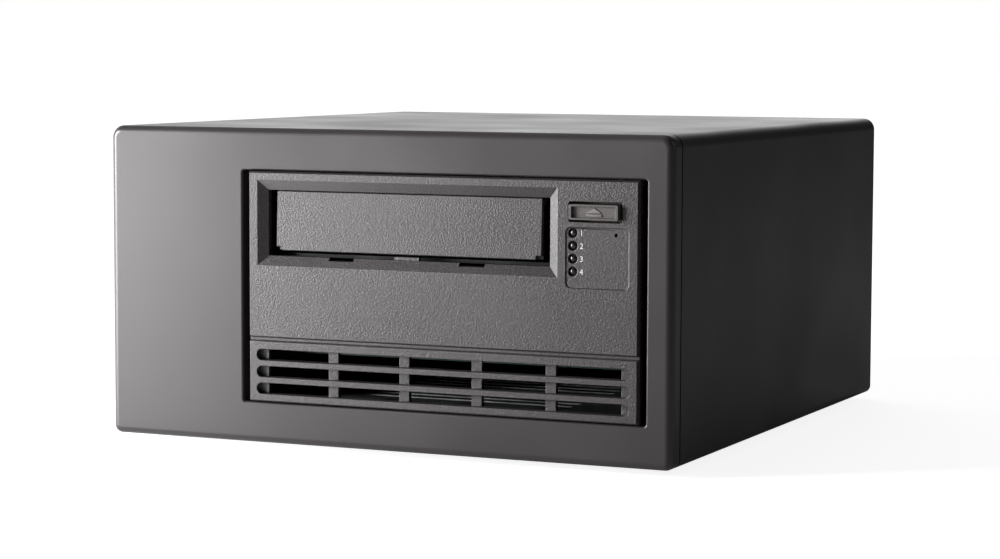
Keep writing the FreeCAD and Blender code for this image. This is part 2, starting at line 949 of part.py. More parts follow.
def inlet_pin_places():
    """The three pins of the mains inlet: live and neutral low, earth high in the middle."""
    z = bottom + S.inlet_level
    return [(inlet_x - S.inlet_pin_spread, z + S.inlet_pin_low), (inlet_x, z + S.inlet_pin_high),
            (inlet_x + S.inlet_pin_spread, z + S.inlet_pin_low)]


def lamp_levels():
    """Levels of the status lamps, from the lowest up."""
    return [face_z(S.lamp_level + S.lamp_pitch * step) for step in range(LAMPS)]


def face_x(offset):
    """A place across the tape unit's face, from its middle."""
    return unit_x + offset


def face_z(level):
    """A level on the tape unit's face, from its lower edge."""
    return face_bottom + level


# ---------------------------------------------------------------- case

def front_bezel():
    """Moulded front: a shell with rounded edges and a collared opening for the tape unit."""
    piece = Piece("front_bezel")
    piece.pad("XZ", front, seam, rectangle(-half, half, bottom, top, S.hem_radius, S.bend_radius))
    piece.fillet(S.front_round, lambda edge: lies_on(edge, "Y", front))
    fold = S.steel_sheet + S.sheet_gap
    piece.pad("XZ", seam, seam + S.front_lip, rectangle(
        -inner_half, inner_half, bottom + fold, top - fold, S.hem_radius - fold, S.bend_radius - fold))
    piece.cut("XZ", front + S.front_wall, seam + S.front_lip, rectangle(
        -half + S.front_skirt, half - S.front_skirt, bottom + S.front_skirt, top - S.front_skirt,
        S.front_skirt_corner))
    inside_face = front + S.front_wall - S.weld
    collar_width = S.aperture_width + S.collar_wall * 2
    collar_height = S.aperture_height + S.collar_wall * 2
    piece.pad("XZ", inside_face, front + S.collar_depth, centred(
        aperture_x, unit_z, collar_width, collar_height, S.aperture_corner + S.collar_wall))
    piece.cut("XZ", front, front + S.collar_depth, centred(
        aperture_x, unit_z, S.aperture_width, S.aperture_height, S.aperture_corner))
    piece.fillet(S.aperture_round, lambda edge: lies_on(edge, "Y", front) and (
        abs(edge.CenterOfMass.x - aperture_x) < collar_width / 2
        and abs(edge.CenterOfMass.z - unit_z) < collar_height / 2))
    x = -half + S.boss_inset
    z = bottom + S.boss_inset
    piece.pad("XZ", inside_face, base_stop, circle(x, z, S.boss_radius))
    piece.cut("XZ", front + S.front_wall + S.boss_floor, base_stop, circle(x, z, S.boss_bore))


def top_cover():
    """Folded cover: the top and both sides in one sheet, hemmed below, with a flange at the back."""
    piece = Piece("top_cover")
    sheet_half = half - S.steel_sheet
    hem_end = half - S.hem_radius - S.hem_flat
    hem_inside = S.hem_radius - S.steel_sheet
    bend_inside = S.bend_radius - S.steel_sheet
    ceiling = top - S.steel_sheet
    piece.pad("XZ", seam + S.seam_gap, rear, outline(
        (-hem_end, bottom), (-half, bottom, S.hem_radius), (-half, top, S.bend_radius),
        (half, top, S.bend_radius), (half, bottom, S.hem_radius), (hem_end, bottom),
        (hem_end, base_top), (sheet_half, base_top, hem_inside), (sheet_half, ceiling, bend_inside),
        (-sheet_half, ceiling, bend_inside), (-sheet_half, base_top, hem_inside), (-hem_end, base_top)))
    piece.pad("XZ", panel_back, rear, rectangle(
        -sheet_half + bend_inside, sheet_half - bend_inside, ceiling - S.rear_flange, ceiling + S.sheet_gap))
    piece.cut("XZ", panel_back, rear, *[
        circle(x, z, S.screw_radius + S.hole_play) for x, z in cover_screw_places()])


def base_chassis():
    """Folded base pan with side flanges, a front and a rear flange and air slots."""
    piece = Piece("base_chassis")
    start = seam + S.seam_gap
    inside = base_half - S.steel_sheet
    bend_inside = S.base_bend - S.steel_sheet
    piece.pad("XZ", start, rear, outline(
        (-base_half, bottom, S.base_bend), (base_half, bottom, S.base_bend),
        (base_half, flange_top), (inside, flange_top),
        (inside, base_top, bend_inside), (-inside, base_top, bend_inside),
        (-inside, flange_top), (-base_half, flange_top)))
    above = rectangle(-half, half, base_top, flange_top + S.steel_sheet)
    piece.cut("XZ", start, base_stop, above)
    piece.cut("XZ", panel_front, rear, above)
    flange = rectangle(-inside, inside, base_top - S.sheet_gap, flange_top)
    piece.pad("XZ", base_stop, base_stop + S.steel_sheet, flange)
    piece.pad("XZ", panel_front - S.steel_sheet, panel_front, flange)
    screw_x = -half + S.boss_inset
    screw_z = bottom + S.boss_inset
    piece.pad("XZ", base_stop, base_stop + S.steel_sheet, rectangle(
        -inside, screw_x + S.boss_inset, flange_top - S.weld, screw_z + S.base_tab_rise))
    piece.cut("XZ", base_stop, base_stop + S.steel_sheet, circle(
        screw_x, screw_z, S.screw_radius + S.hole_play))
    slot_y = front + S.foot_inset + S.foot_radius + S.slot_margin
    slots = [piece.cut("XY", bottom, base_top, rectangle(
        x - S.slot_length / 2, x + S.slot_length / 2, slot_y, slot_y + S.slot_width))
        for x in ((supply_left + supply_right) / 2, unit_x)]
    piece.row(slots, "Y", S.slot_pitch, BASE_SLOTS)
    piece.cut("XY", bottom, base_top, *[
        circle(x, y, S.foot_peg_radius + S.hole_play) for x, y in foot_places()])
    piece.cut("XY", bottom, base_top, *[
        circle(x, y, S.screw_radius + S.hole_play) for x, y in bracket_screw_places()])


def rubber_feet():
    """Four round feet, each with a peg pressed through the base."""
    feet = []
    for x, y in foot_places():
        pad = doc.addObject("Part::Cone", "foot")
        set_length(pad, "Radius1", S.foot_radius - S.foot_taper)
        set_length(pad, "Radius2", S.foot_radius)
        set_length(pad, "Height", S.foot_height)
        orient(pad, x, y, 0, "+Z")
        peg = rod(x, y, 0, "+Z", S.foot_peg_radius, S.foot_height + S.steel_sheet + S.foot_peg_rise)
        feet.append(fuse(pad, peg))
    group("rubber_feet", feet)


def rear_panel():
    """Back plate with openings for the fan, the sockets, the switch and air slots."""
    piece = Piece("rear_panel")
    fold = S.steel_sheet + S.sheet_gap
    piece.pad("XZ", panel_front, panel_back, rectangle(
        -inner_half, inner_half, bottom + fold, top - fold, S.hem_radius - fold, S.bend_radius - fold))
    switch_z = bottom + S.switch_level
    openings = [
        circle(fan_x, fan_z, S.fan_bore),
        centred(inlet_x, bottom + S.inlet_level, S.inlet_width + S.panel_play * 2,
                S.inlet_height + S.panel_play * 2, S.inlet_corner),
        centred(inlet_x, switch_z, S.switch_width + S.panel_play * 2,
                S.switch_height + S.panel_play * 2, S.switch_corner)]
    openings += [d_shape(level, S.socket_play) for level in socket_levels]
    holes = fan_screw_places() + cover_screw_places()
    holes += [(x, level) for x in jack_places() for level in socket_levels]
    openings += [circle(x, z, S.screw_radius + S.hole_play) for x, z in holes]
    for opening in openings:
        piece.cut("XZ", panel_front, panel_back, opening)
    vent_z = top - fold - S.rear_flange - S.vent_drop - S.vent_pitch * (REAR_VENTS - 1)
    vent = piece.cut("XZ", panel_front, panel_back, slot(
        socket_x - S.vent_length / 2, socket_x + S.vent_length / 2, vent_z, S.slot_width / 2))
    piece.row([vent], "Z", S.vent_pitch, REAR_VENTS)


def d_shape(z, play):
    """The slanted outline of a data socket, wider at its top."""
    wide = S.socket_width / 2 + play
    narrow = wide - S.socket_slant
    tall = S.socket_height / 2 + play
    bend = S.socket_corner
    return outline((socket_x - narrow, z - tall, bend), (socket_x + narrow, z - tall, bend),
                   (socket_x + wide, z + tall, bend), (socket_x - wide, z + tall, bend))


def case_screws():
    """Screws of the cover, of the moulded front and under the base."""
    group("cover_screws", [screw(x, rear, z, "-Y", S.screw_radius, S.screw_length)
                           for x, z in cover_screw_places()])
    finish("bezel_screw", screw(-half + S.boss_inset, base_stop + S.steel_sheet, bottom + S.boss_inset,
                                "-Y", S.boss_bore, S.screw_length))
    group("bracket_screws", [screw(x, y, bottom, "+Z", S.screw_radius, S.steel_sheet * 3)
                             for x, y in bracket_screw_places()])


# ---------------------------------------------------------------- tape unit: frame

def unit_frame():
    """Cast frame of the tape unit: side walls, back wall and the deck between them."""
    piece = Piece("unit_frame")
    low = unit_bottom + S.unit_cover
    high = unit_bottom + S.unit_height - S.unit_cover
    deck_bottom = deck_top - S.deck_thickness
    piece.pad("XY", low, high, rectangle(unit_left, unit_right, unit_front, unit_back, S.unit_corner))
    room = outline((room_left, unit_front), (room_right, unit_front),
                   (room_right, room_back, S.unit_inner_corner), (room_left, room_back, S.unit_inner_corner))
    piece.cut("XY", deck_top, high, room)
    piece.cut("XY", low, deck_bottom, room)
    window = unit_bottom + S.cable_window_level
    piece.cut("XZ", room_back, unit_back, rectangle(
        room_left + S.cable_window_left, room_right - S.cable_window_right,
        window, window + S.cable_window_height))
    holes = [circle(y, z, S.boss_bore) for y, z in side_hole_places()]
    piece.cut("YZ", unit_left, room_left, *holes)
    piece.cut("YZ", room_right, unit_right, *holes)
    bearing = S.spindle_radius + S.spindle_play
    piece.cut("XY", deck_bottom, deck_top, circle(throat_x, hub_y, bearing), circle(reel_x, reel_y, bearing),
              *[circle(x, y, S.roller_pin_radius) for x, y in roller_places()])


def unit_plates():
    """Sheet plates that close the tape unit above and below."""
    ceiling = unit_bottom + S.unit_height
    sheet_outline = rectangle(unit_left, unit_right, unit_front, unit_back, S.unit_corner)
    lid = Piece("unit_top_plate")
    lid.pad("XY", ceiling - S.unit_cover, ceiling, sheet_outline)
    lid.pad("XY", ceiling, ceiling + S.panel_rise, rectangle(
        unit_left + S.panel_side_margin, unit_right - S.panel_side_margin,
        unit_front + S.panel_front_margin, unit_back - S.panel_back_margin, S.panel_corner),
        draft=S.panel_draft)
    pan = Piece("unit_bottom_plate")
    pan.pad("XY", unit_bottom, unit_bottom + S.unit_cover, sheet_outline)
    slot_y = unit_front + S.pan_slot_start
    vents = pan.cut("XY", unit_bottom, unit_bottom + S.unit_cover, rectangle(
        unit_x - S.pan_slot_length / 2, unit_x + S.pan_slot_length / 2, slot_y, slot_y + S.slot_width))
    pan.row([vents], "Y", S.slot_pitch, PAN_SLOTS)


def unit_board():
    """Circuit board under the deck, with its chips and the rear data connector."""
    level = unit_bottom + S.board_level
    above = level + S.board_thickness
    start = unit_front + S.board_start
    stop = room_back - S.board_back_gap
    board = block(room_left + S.board_margin, room_right - S.board_margin, start, stop, level, above)
    chips = [block(unit_x + across - width / 2, unit_x + across + width / 2, start + along,
                   start + along + width, above - S.solder, above + S.chip_height)
             for across, along, width in CHIPS]
    middle = unit_x + S.plug_offset
    plug = block(middle - S.plug_width / 2, middle + S.plug_width / 2, stop - S.plug_depth, stop,
                 above - S.solder, above + S.plug_height)
    finish("unit_board", fuse(board, plug, *chips))


def side_brackets():
    """Angle brackets that carry the tape unit above the base, and the screws into its sides."""
    near = unit_front + S.bracket_start
    far = near + S.bracket_length
    high = unit_bottom + S.bracket_rise
    floor = base_top + S.steel_sheet
    screws = []
    sides = (("bracket_left", -1, unit_left, "+X"), ("bracket_right", 1, unit_right, "-X"))
    for name, side, wall, way in sides:
        outside = wall + S.steel_sheet * side
        inside = wall - S.bracket_foot * side
        piece = Piece(name)
        piece.pad("XZ", near, far, outline(
            (wall, high), (wall, floor, S.base_bend - S.steel_sheet), (inside, floor),
            (inside, base_top), (outside, base_top, S.base_bend), (outside, high)))
        left = wall if side > 0 else outside
        piece.cut("YZ", left, left + S.steel_sheet, *[
            circle(y, z, S.screw_radius + S.hole_play) for y, z in side_hole_places()])
        piece.cut("XY", base_top, floor, *[
            circle(x, y, S.screw_radius) for x, y in bracket_screw_places() if (x - unit_x) * side > 0])
        screws += [screw(outside, y, z, way, S.boss_bore, S.side_screw_length) for y, z in side_hole_places()]
    group("unit_screws", screws)


# ---------------------------------------------------------------- tape unit: face

face_spread = S.face_raise * math.tan(math.radians(SIZES["face_draft"]))
face_left = unit_x - S.face_width / 2 - face_spread
face_right = unit_x + S.face_width / 2 + face_spread


def unit_bezel():
    """Moulded face of the tape unit: the framed door opening and the control panel."""
    piece = Piece("unit_bezel")
    face_top = face_z(S.face_height) + face_spread
    piece.pad("XZ", front, unit_front, rectangle(face_left, face_right, face_bottom - face_spread, face_top))
    groove_top = face_z(S.groove_level + S.groove_width) - face_spread
    piece.emboss(front, S.face_raise, S.face_draft, rectangle(face_left, face_right, groove_top, face_top))
    # the bevelled frame round the door and the throat behind it
    left = throat_x - S.throat_width / 2
    right = throat_x + S.throat_width / 2
    bevel = S.bevel_width
    throat = rectangle(left, right, throat_bottom, throat_top)
    mouth = rectangle(left - bevel, right + bevel, throat_bottom - bevel, throat_top + bevel)
    piece.funnel("XZ", face_y, mouth, face_y + S.bevel_depth, throat)
    piece.cut("XZ", face_y + S.bevel_depth - S.sheet_gap, unit_front, throat)
    # two notches and a small tab in the lower lip
    for x in (throat_x - S.lip_notch_spread, throat_x + S.lip_notch_spread):
        piece.cut("XZ", face_y, unit_front, rectangle(
            x - S.lip_notch_width / 2, x + S.lip_notch_width / 2,
            throat_bottom - S.lip_notch_height, throat_bottom + S.weld))
    tab = face_y + S.lip_tab_setback
    piece.pad("XZ", tab, tab + S.lip_tab_thickness, rectangle(
        throat_x - S.lip_notch_width / 2, throat_x + S.lip_notch_width / 2,
        throat_bottom - S.weld, throat_bottom + S.lip_tab_height))
    # ears behind the plate that hold the door's pin
    ear_inside = S.door_width / 2 + S.ear_gap
    for start in (throat_x - ear_inside - S.ear_width, throat_x + ear_inside):
        piece.pad("YZ", start, start + S.ear_width, rectangle(
            unit_front - S.weld, pivot_y + S.knuckle_radius,
            pivot_z - S.knuckle_radius - S.weld, pivot_z + S.knuckle_radius))
        piece.cut("YZ", start, start + S.ear_width, circle(pivot_y, pivot_z, S.pin_radius))
    # window that the lower grille snaps into
    edge = S.grille_length / 2 + S.grille_frame + S.grille_play
    piece.cut("XZ", front, unit_front, rectangle(
        unit_x - edge, unit_x + edge,
        face_z(S.grille_first) - S.grille_slot / 2 - S.grille_frame - S.grille_play,
        face_z(S.groove_level) - S.grille_top_inset + S.grille_play))
    control_panel(piece)


def control_panel(piece):
    """The sunk field, the button's hole, the lamp wells, the reset pinhole and two board posts."""
    middle = (face_x(S.field_offset), face_z(S.field_level + S.field_height / 2))
    slope = S.field_slope
    mouth = centred(*middle, S.field_width, S.field_height, S.field_corner)
    floor = centred(*middle, S.field_width - slope * 2, S.field_height - slope * 2, S.field_corner - slope)
    piece.funnel("XZ", face_y, mouth, face_y + S.field_depth, floor)
    piece.cut("XZ", face_y, unit_front, centred(
        face_x(S.button_offset), face_z(S.button_level), S.button_width + S.button_gap * 2,
        S.button_height + S.button_gap * 2, S.button_hole_corner))
    field_floor = face_y + S.field_depth
    for level in lamp_levels():
        lamp = (face_x(S.lamp_offset), level)
        piece.cut("XZ", field_floor, face_y + S.lamp_well_depth, circle(*lamp, S.lamp_well))
        piece.cut("XZ", field_floor, unit_front, circle(*lamp, S.lamp_radius))
    piece.chamfer(S.lamp_chamfer, lambda edge: lies_on(edge, "Y", field_floor) and edge.isClosed())
    piece.cut("XZ", face_y, unit_front, circle(
        face_x(S.pinhole_offset), face_z(S.pinhole_level), S.pinhole_radius))
    board_left, board_right, board_bottom, board_top = panel_board_box()
    for x in (board_left + S.panel_post_inset, board_right - S.panel_post_inset):
        piece.pad("XZ", unit_front - S.weld, panel_board_y, circle(
            x, board_bottom + S.panel_post_inset, S.panel_post_radius))


def panel_board_box():
    """Left, right, bottom and top of the small board behind the control panel."""
    return (face_x(S.lamp_offset) - S.panel_margin, room_right - S.board_margin,
            face_z(S.lamp_level) - S.panel_margin, face_z(S.button_level) + S.panel_margin)


def lower_grille():
    """Grille below the groove: three long slots over a comb of set-back posts."""
    piece = Piece("lower_grille")
    edge = S.grille_length / 2 + S.grille_frame
    low = face_z(S.grille_first) - S.grille_slot / 2 - S.grille_frame
    high = face_z(S.groove_level) - S.grille_top_inset
    piece.emboss(front, S.face_raise, S.face_draft, rectangle(
        face_left, face_right, face_bottom - face_spread, face_z(S.groove_level) + face_spread))
    piece.pad("XZ", front, unit_front, rectangle(unit_x - edge, unit_x + edge, low, high))
    for step in range(GRILLE_SLOTS):
        piece.cut("XZ", face_y, unit_front, slot(
            unit_x - S.grille_length / 2, unit_x + S.grille_length / 2,
            face_z(S.grille_first + S.grille_pitch * step), S.grille_slot / 2))
    for step in range(GRILLE_POSTS):
        x = unit_x + S.grille_post_pitch * (step - (GRILLE_POSTS - 1) / 2)
        piece.pad("XZ", face_y + S.grille_post_depth, unit_front, rectangle(
            x - S.grille_post / 2, x + S.grille_post / 2, low, high))


def tape_door():
    """Inward-swinging door: a leaning panel with two arms up to its hinge pin."""
    piece = Piece("tape_door")
    left = throat_x - S.door_width / 2
    right = throat_x + S.door_width / 2
    low = face_z(S.door_level)
    high = low + S.door_height
    near = front + S.door_setback
    far = near + S.door_thickness
    piece.pad("YZ", left, right, outline(
        (near, low, S.door_edge), (far, low),
        (far + S.door_lean, high), (near + S.door_lean, high, S.door_edge)))
    piece.cut("XZ", near, far, *[rectangle(
        start, start + S.door_notch_width, low, low + S.door_notch_height)
        for start in (left, right - S.door_notch_width)])
    arm_front = pivot_y - S.knuckle_radius
    arm_back = pivot_y + S.knuckle_radius
    root = far + S.door_lean - S.door_arm_bite
    arm_top = high - S.sheet_gap
    for start in (left, right - S.knuckle_width):
        stop = start + S.knuckle_width
        piece.pad("YZ", start, stop, outline(
            (root, high - S.door_arm_root), (arm_back, pivot_z - S.door_arm_drop), (arm_back, pivot_z),
            (arm_front, pivot_z), (arm_front, arm_top), (root, arm_top)))
        piece.pad("YZ", start, stop, circle(pivot_y, pivot_z, S.knuckle_radius))
        piece.cut("YZ", start, stop, circle(pivot_y, pivot_z, S.pin_radius + S.running_gap))


def door_fittings():
    """The door's hinge pin and the torsion spring that shuts it."""
    reach = S.door_width / 2 + S.ear_gap + S.ear_width
    finish("door_pin", rod(throat_x - reach, pivot_y, pivot_z, "+X", S.pin_radius, reach * 2))
    spring_x = throat_x + S.door_width / 2 - S.knuckle_width - S.ear_gap - S.spring_length
    coil = rod(spring_x, pivot_y, pivot_z, "+X", S.pin_radius + S.spring_wire, S.spring_length)
    core = rod(spring_x, pivot_y, pivot_z, "+X", S.pin_radius + S.running_gap, S.spring_length)
    finish("door_spring", carve(coil, core))


def eject_button():
    """Push button that stands proud, with a raised rim, a sunken face and a raised eject sign."""
    piece = Piece("eject_button")
    x = face_x(S.button_offset)
    z = face_z(S.button_level)
    cap = face_y - S.button_rise
    floor = cap + S.button_sink
    flange = button_back + S.button_flange_thickness
    switch = panel_board_y - S.switch_rise
    piece.pad("XZ", cap, button_back, centred(x, z, S.button_width, S.button_height, S.button_corner))
    piece.pad("XZ", button_back, flange, centred(
        x, z, S.button_width + S.button_flange * 2, S.button_height + S.button_flange * 2, S.button_corner))
    piece.pad("XZ", flange, switch - S.button_travel - S.switch_play, circle(x, z, S.button_stem_radius))
    piece.cut("XZ", cap, floor, centred(
        x, z, S.button_width - S.button_rim_side * 2, S.button_height - S.button_rim * 2, S.button_corner))
    bar_low = z - (S.sign_height + S.sign_gap + S.sign_bar) / 2
    mark_low = bar_low + S.sign_bar + S.sign_gap
    bar = rectangle(x - S.sign_half_width, x + S.sign_half_width, bar_low, bar_low + S.sign_bar)
    mark = outline((x - S.sign_half_width, mark_low), (x + S.sign_half_width, mark_low),
                   (x, mark_low + S.sign_height))
    for drawing in (bar, mark):
        piece.pad("XZ", floor - S.sign_rise, floor + S.sheet_gap, drawing)


def panel_parts():
    """Behind the control panel: the lamp lenses and the board with the lamps and the switch."""
    x = face_x(S.lamp_offset)
    lamp_front = panel_board_y - S.lamp_rise
    lens_front = face_y + S.lamp_setback
    group("status_lenses", [
        rod(x, lens_front, level, "+Y", S.lamp_radius, lamp_front - lens_front) for level in lamp_levels()])
    left, right, low, high = panel_board_box()
    board = block(left, right, panel_board_y, panel_board_y + S.board_thickness, low, high)
    size = S.switch_size / 2
    switch_x = face_x(S.button_offset)
    switch_z = face_z(S.button_level)
    switch = block(switch_x - size, switch_x + size, panel_board_y - S.switch_rise, panel_board_y,
                   switch_z - size, switch_z + size)
    reach = S.lamp_size / 2
    lamps = [block(x - reach, x + reach, lamp_front, panel_board_y, level - reach, level + reach)
             for level in lamp_levels()]
    finish("panel_board", fuse(board, switch, *lamps))


# ---------------------------------------------------------------- tape unit: loader and transport

def cartridge_tray():
    """Loader tray that takes the cartridge and lowers it on to the drive hub."""
    piece = Piece("cartridge_tray")
    inner = S.bay_width / 2
    outer = inner + S.tray_sheet
    lip = inner - S.tray_flange
    floor = tray_bottom + S.tray_sheet
    high = tray_bottom + S.tray_height
    lid = high + S.tray_sheet
    right = [(outer, tray_bottom), (outer, lid), (lip, lid), (lip, high), (inner, high), (inner, floor)]
    piece.pad("XZ", tray_start, tray_stop, outline(
        *[(throat_x + x, z) for x, z in right], *[(throat_x - x, z) for x, z in reversed(right)]))
    piece.cut("XZ", tray_start, tray_start + S.tray_flange_start, rectangle(
        throat_x - outer, throat_x + outer, high - S.tray_side_drop, lid))
    piece.cut("XY", tray_bottom, floor, circle(throat_x, hub_y, S.tray_window))


def spindles():
    """The two reel motors' fixed bases with their spindles, standing on the deck."""
    for name, x, y in (("hub_motor", throat_x, hub_y), ("reel_motor", reel_x, reel_y)):
        piece = Piece(name)
        piece.turn(rectangle(0, S.motor_radius, 0, S.motor_height))
        piece.pad("XY", S.motor_height, S.spindle_height, circle(0, 0, S.spindle_radius))
        piece.pad("XY", -S.deck_thickness, 0, circle(0, 0, S.spindle_radius + S.spindle_boss))
        piece.place(x, y, deck_top)


def drive_hub():
    """Rotor that turns the cartridge's reel through a ring of face teeth."""
    piece = Piece("drive_hub")
    bore = S.spindle_radius + S.running_gap
    base = S.motor_height + S.rotor_gap
    high = base + S.hub_height
    piece.turn(outline((bore, base), (S.hub_radius, base), (S.hub_radius, high - S.hub_chamfer),
                       (S.hub_crown, high), (bore, high)))
    # the flanks of a tooth run towards the hub's axis
    inner = S.tooth_width / 2
    outer = inner * S.tooth_outer / S.tooth_inner
    tooth = piece.pad("XY", high - S.weld, high + S.tooth_rise, outline(
        (S.tooth_inner, -inner), (S.tooth_outer, -outer), (S.tooth_outer, outer), (S.tooth_inner, inner)))
    piece.ring([tooth], HUB_TEETH)
    piece.place(throat_x, hub_y, deck_top)


def take_up_reel():
    """Reel that takes up the tape, with windows in both flanges."""
    piece = Piece("take_up_reel")
    bore = S.spindle_radius + S.running_gap
    web = bore + S.reel_web
    base = S.motor_height + S.rotor_gap
    lower = base + S.reel_flange
    upper = lower + S.tape_width
    high = upper + S.reel_flange
    rim = reel_radius
    barrel = rim - S.reel_flange_width
    step = base + S.reel_bearing
    piece.turn(outline((bore, base), (rim, base), (rim, lower), (barrel, lower), (barrel, upper),
                       (rim, upper), (rim, high), (web, high), (web, step), (bore, step)))
    near = barrel + S.reel_window_margin
    far = rim - S.reel_window_margin
    inner = S.reel_window_inner / 2
    outer = S.reel_window_outer / 2
    window = piece.cut("XY", base, high, outline((near, -inner), (far, -outer), (far, outer), (near, inner)))
    piece.ring([window], REEL_WINDOWS)
    piece.place(reel_x, reel_y, deck_top)


def guide_rollers():
    """Flanged rollers that lead the tape past the head, and the pins they turn on."""
    bore = S.roller_pin_radius + S.running_gap
    base = S.roller_level
    high = base + S.roller_height
    rim = S.roller_radius
    waist = rim - S.roller_groove
    edge = S.roller_rim
    pins = []
    for number, (x, y) in enumerate(roller_places(), start=1):
        piece = Piece("guide_roller_%d" % number)
        piece.turn(outline((bore, base), (rim, base), (rim, base + edge), (waist, base + edge),
                           (waist, high - edge), (rim, high - edge), (rim, high), (bore, high)))
        piece.place(x, y, deck_top)
        foot = deck_top - S.deck_thickness / 2
        pin = rod(x, y, foot, "+Z", S.roller_pin_radius, deck_top + high + S.roller_rim - foot)
        collar = rod(x, y, deck_top, "+Z", S.roller_pin_radius + S.roller_collar, S.roller_collar_height)
        pins.append(fuse(pin, collar))
    group("roller_pins", pins)


def head_parts():
    """Read and write head, and the actuator post that it slides on."""
    post_x = head_x + S.post_offset
    deep = S.post_foot_depth / 2
    wide = S.post_foot_width / 2
    foot = block(post_x - deep, post_x + deep, head_y - wide, head_y + wide, deck_top, deck_top + S.post_foot)
    post = rod(post_x, head_y, deck_top, "+Z", S.roller_pin_radius, S.post_height)
    finish("head_actuator", fuse(foot, post))
    head = Piece("tape_head")
    level = deck_top + S.head_level
    left = head_x - S.head_half_depth
    right = head_x + S.head_half_depth
    near = head_y - S.head_half_width
    far = head_y + S.head_half_width
    slope = S.head_slope
    head.pad("XY", level, level + S.head_height, outline(
        (left, near + slope, S.head_corner), (left + slope, near), (right, near), (right, far),
        (left + slope, far), (left, far - slope, S.head_corner)))
    head.cut("XY", level, level + S.head_height, circle(post_x, head_y, S.roller_pin_radius + S.running_gap))


def load_motor():
    """Small motor and worm that drive the loader."""
    x = unit_x + S.loader_offset
    start = unit_front + S.loader_start
    stop = start + S.loader_length
    level = deck_top + S.loader_level
    can = rod(x, start, level, "+Y", S.loader_radius, S.loader_length)
    worm = rod(x, stop - S.weld, level, "+Y", S.worm_radius, S.worm_length)
    foot = block(x - S.loader_foot / 2, x + S.loader_foot / 2, start + S.loader_foot_inset,
                 stop - S.loader_foot_inset, deck_top, level - S.loader_radius / 2)
    finish("load_motor", fuse(can, worm, foot))


# ---------------------------------------------------------------- power supply

def supply_shell():
    """Open-sided steel box of the power supply, its cover and the two rails it stands on."""
    wall = S.supply_wall
    low = supply_bottom
    high = supply_top
    slot_low = low + S.supply_vent_end
    slot_high = slot_low + S.slot_width
    pitch = (high - low - S.supply_vent_end * 2 - S.slot_width) / (SUPPLY_SLOTS - 1)
    box = Piece("supply_case")
    box.pad("YZ", supply_left, supply_right, rectangle(supply_front, supply_back, low, high, S.supply_corner))
    box.cut("YZ", supply_left + wall, supply_right, rectangle(
        supply_front + wall, supply_back - wall, low + wall, high - wall, S.supply_opening))
    for start in (supply_front, supply_back - wall):
        vents = box.cut("XZ", start, start + wall, rectangle(
            supply_left + S.supply_vent_side, supply_right - S.supply_vent_side, slot_low, slot_high))
        box.row([vents], "Z", pitch, SUPPLY_SLOTS)
    plate = Piece("supply_cover")
    plate.pad("YZ", supply_right, supply_right + wall, rectangle(
        supply_front, supply_back, low, high, S.supply_corner))
    middle = (supply_front + supply_back) / 2
    inner = S.supply_vent_end
    outer = S.supply_vent_middle
    for near, far in ((middle - outer, middle - inner), (middle + inner, middle + outer)):
        vents = plate.cut("YZ", supply_right, supply_right + wall, rectangle(near, far, slot_low, slot_high))
        plate.row([vents], "Z", pitch, SUPPLY_SLOTS)
    side = S.supply_foot_side
    rails = (supply_left + side, supply_right - side - S.supply_foot)
    group("supply_mounts", [
        block(x, x + S.supply_foot, supply_front + S.supply_foot_end, supply_back - S.supply_foot_end,
              base_top, low) for x in rails])


def supply_parts():
    """The supply's board on its stands, and the transformer, capacitors and heatsink on the board."""
    wall = S.supply_wall
    margin = S.supply_margin
    board_x = supply_left + wall + S.board_stand
    face = board_x + S.board_thickness
    room = supply_right - face
    middle = (supply_bottom + supply_top) / 2
    board = block(board_x, face, supply_front + margin, supply_back - margin,
                  supply_bottom + margin, supply_top - margin)
    stands = [rod(supply_left + wall, y, z, "+X", S.stand_radius, S.board_stand + S.solder)
              for y in (supply_front + margin * 2, supply_back - margin * 2)
              for z in (supply_bottom + margin * 2, supply_top - margin * 2)]
    finish("supply_board", fuse(board, *stands))
    core_depth = room * S.core_fill
    core_y = supply_front + S.core_start
    core = block(face, face + core_depth, core_y, core_y + S.core_length,
                 middle - S.core_height / 2, middle + S.core_height / 2)
    coil = rod(face + core_depth / 2, core_y - S.winding_reach, middle, "+Y", core_depth * S.winding_share,
               S.core_length + S.winding_reach * 2)
    finish("supply_transformer", fuse(core, coil))
    group("supply_capacitors", [
        rod(face, supply_front + along, middle + up, "+X", radius, room * S.can_fill)
        for along, up, radius in CAPACITORS])
    sink_y = supply_front + S.sink_start
    low = supply_bottom + S.sink_margin
    high = supply_top - S.sink_margin
    reach = room * S.sink_fill
    plate = block(face, face + reach, sink_y, sink_y + S.sink_plate, low, high)
    pitch = (reach - S.sink_foot) / (SINK_FINS + 1)
    outer_sides = [face + reach - pitch * step for step in range(SINK_FINS)]
    fins = [block(x - S.fin_thickness, x, sink_y + S.sink_plate - S.solder, sink_y + S.fin_reach, low, high)
            for x in outer_sides]
    finish("supply_heatsink", fuse(plate, *fins))


# ---------------------------------------------------------------- rear fittings

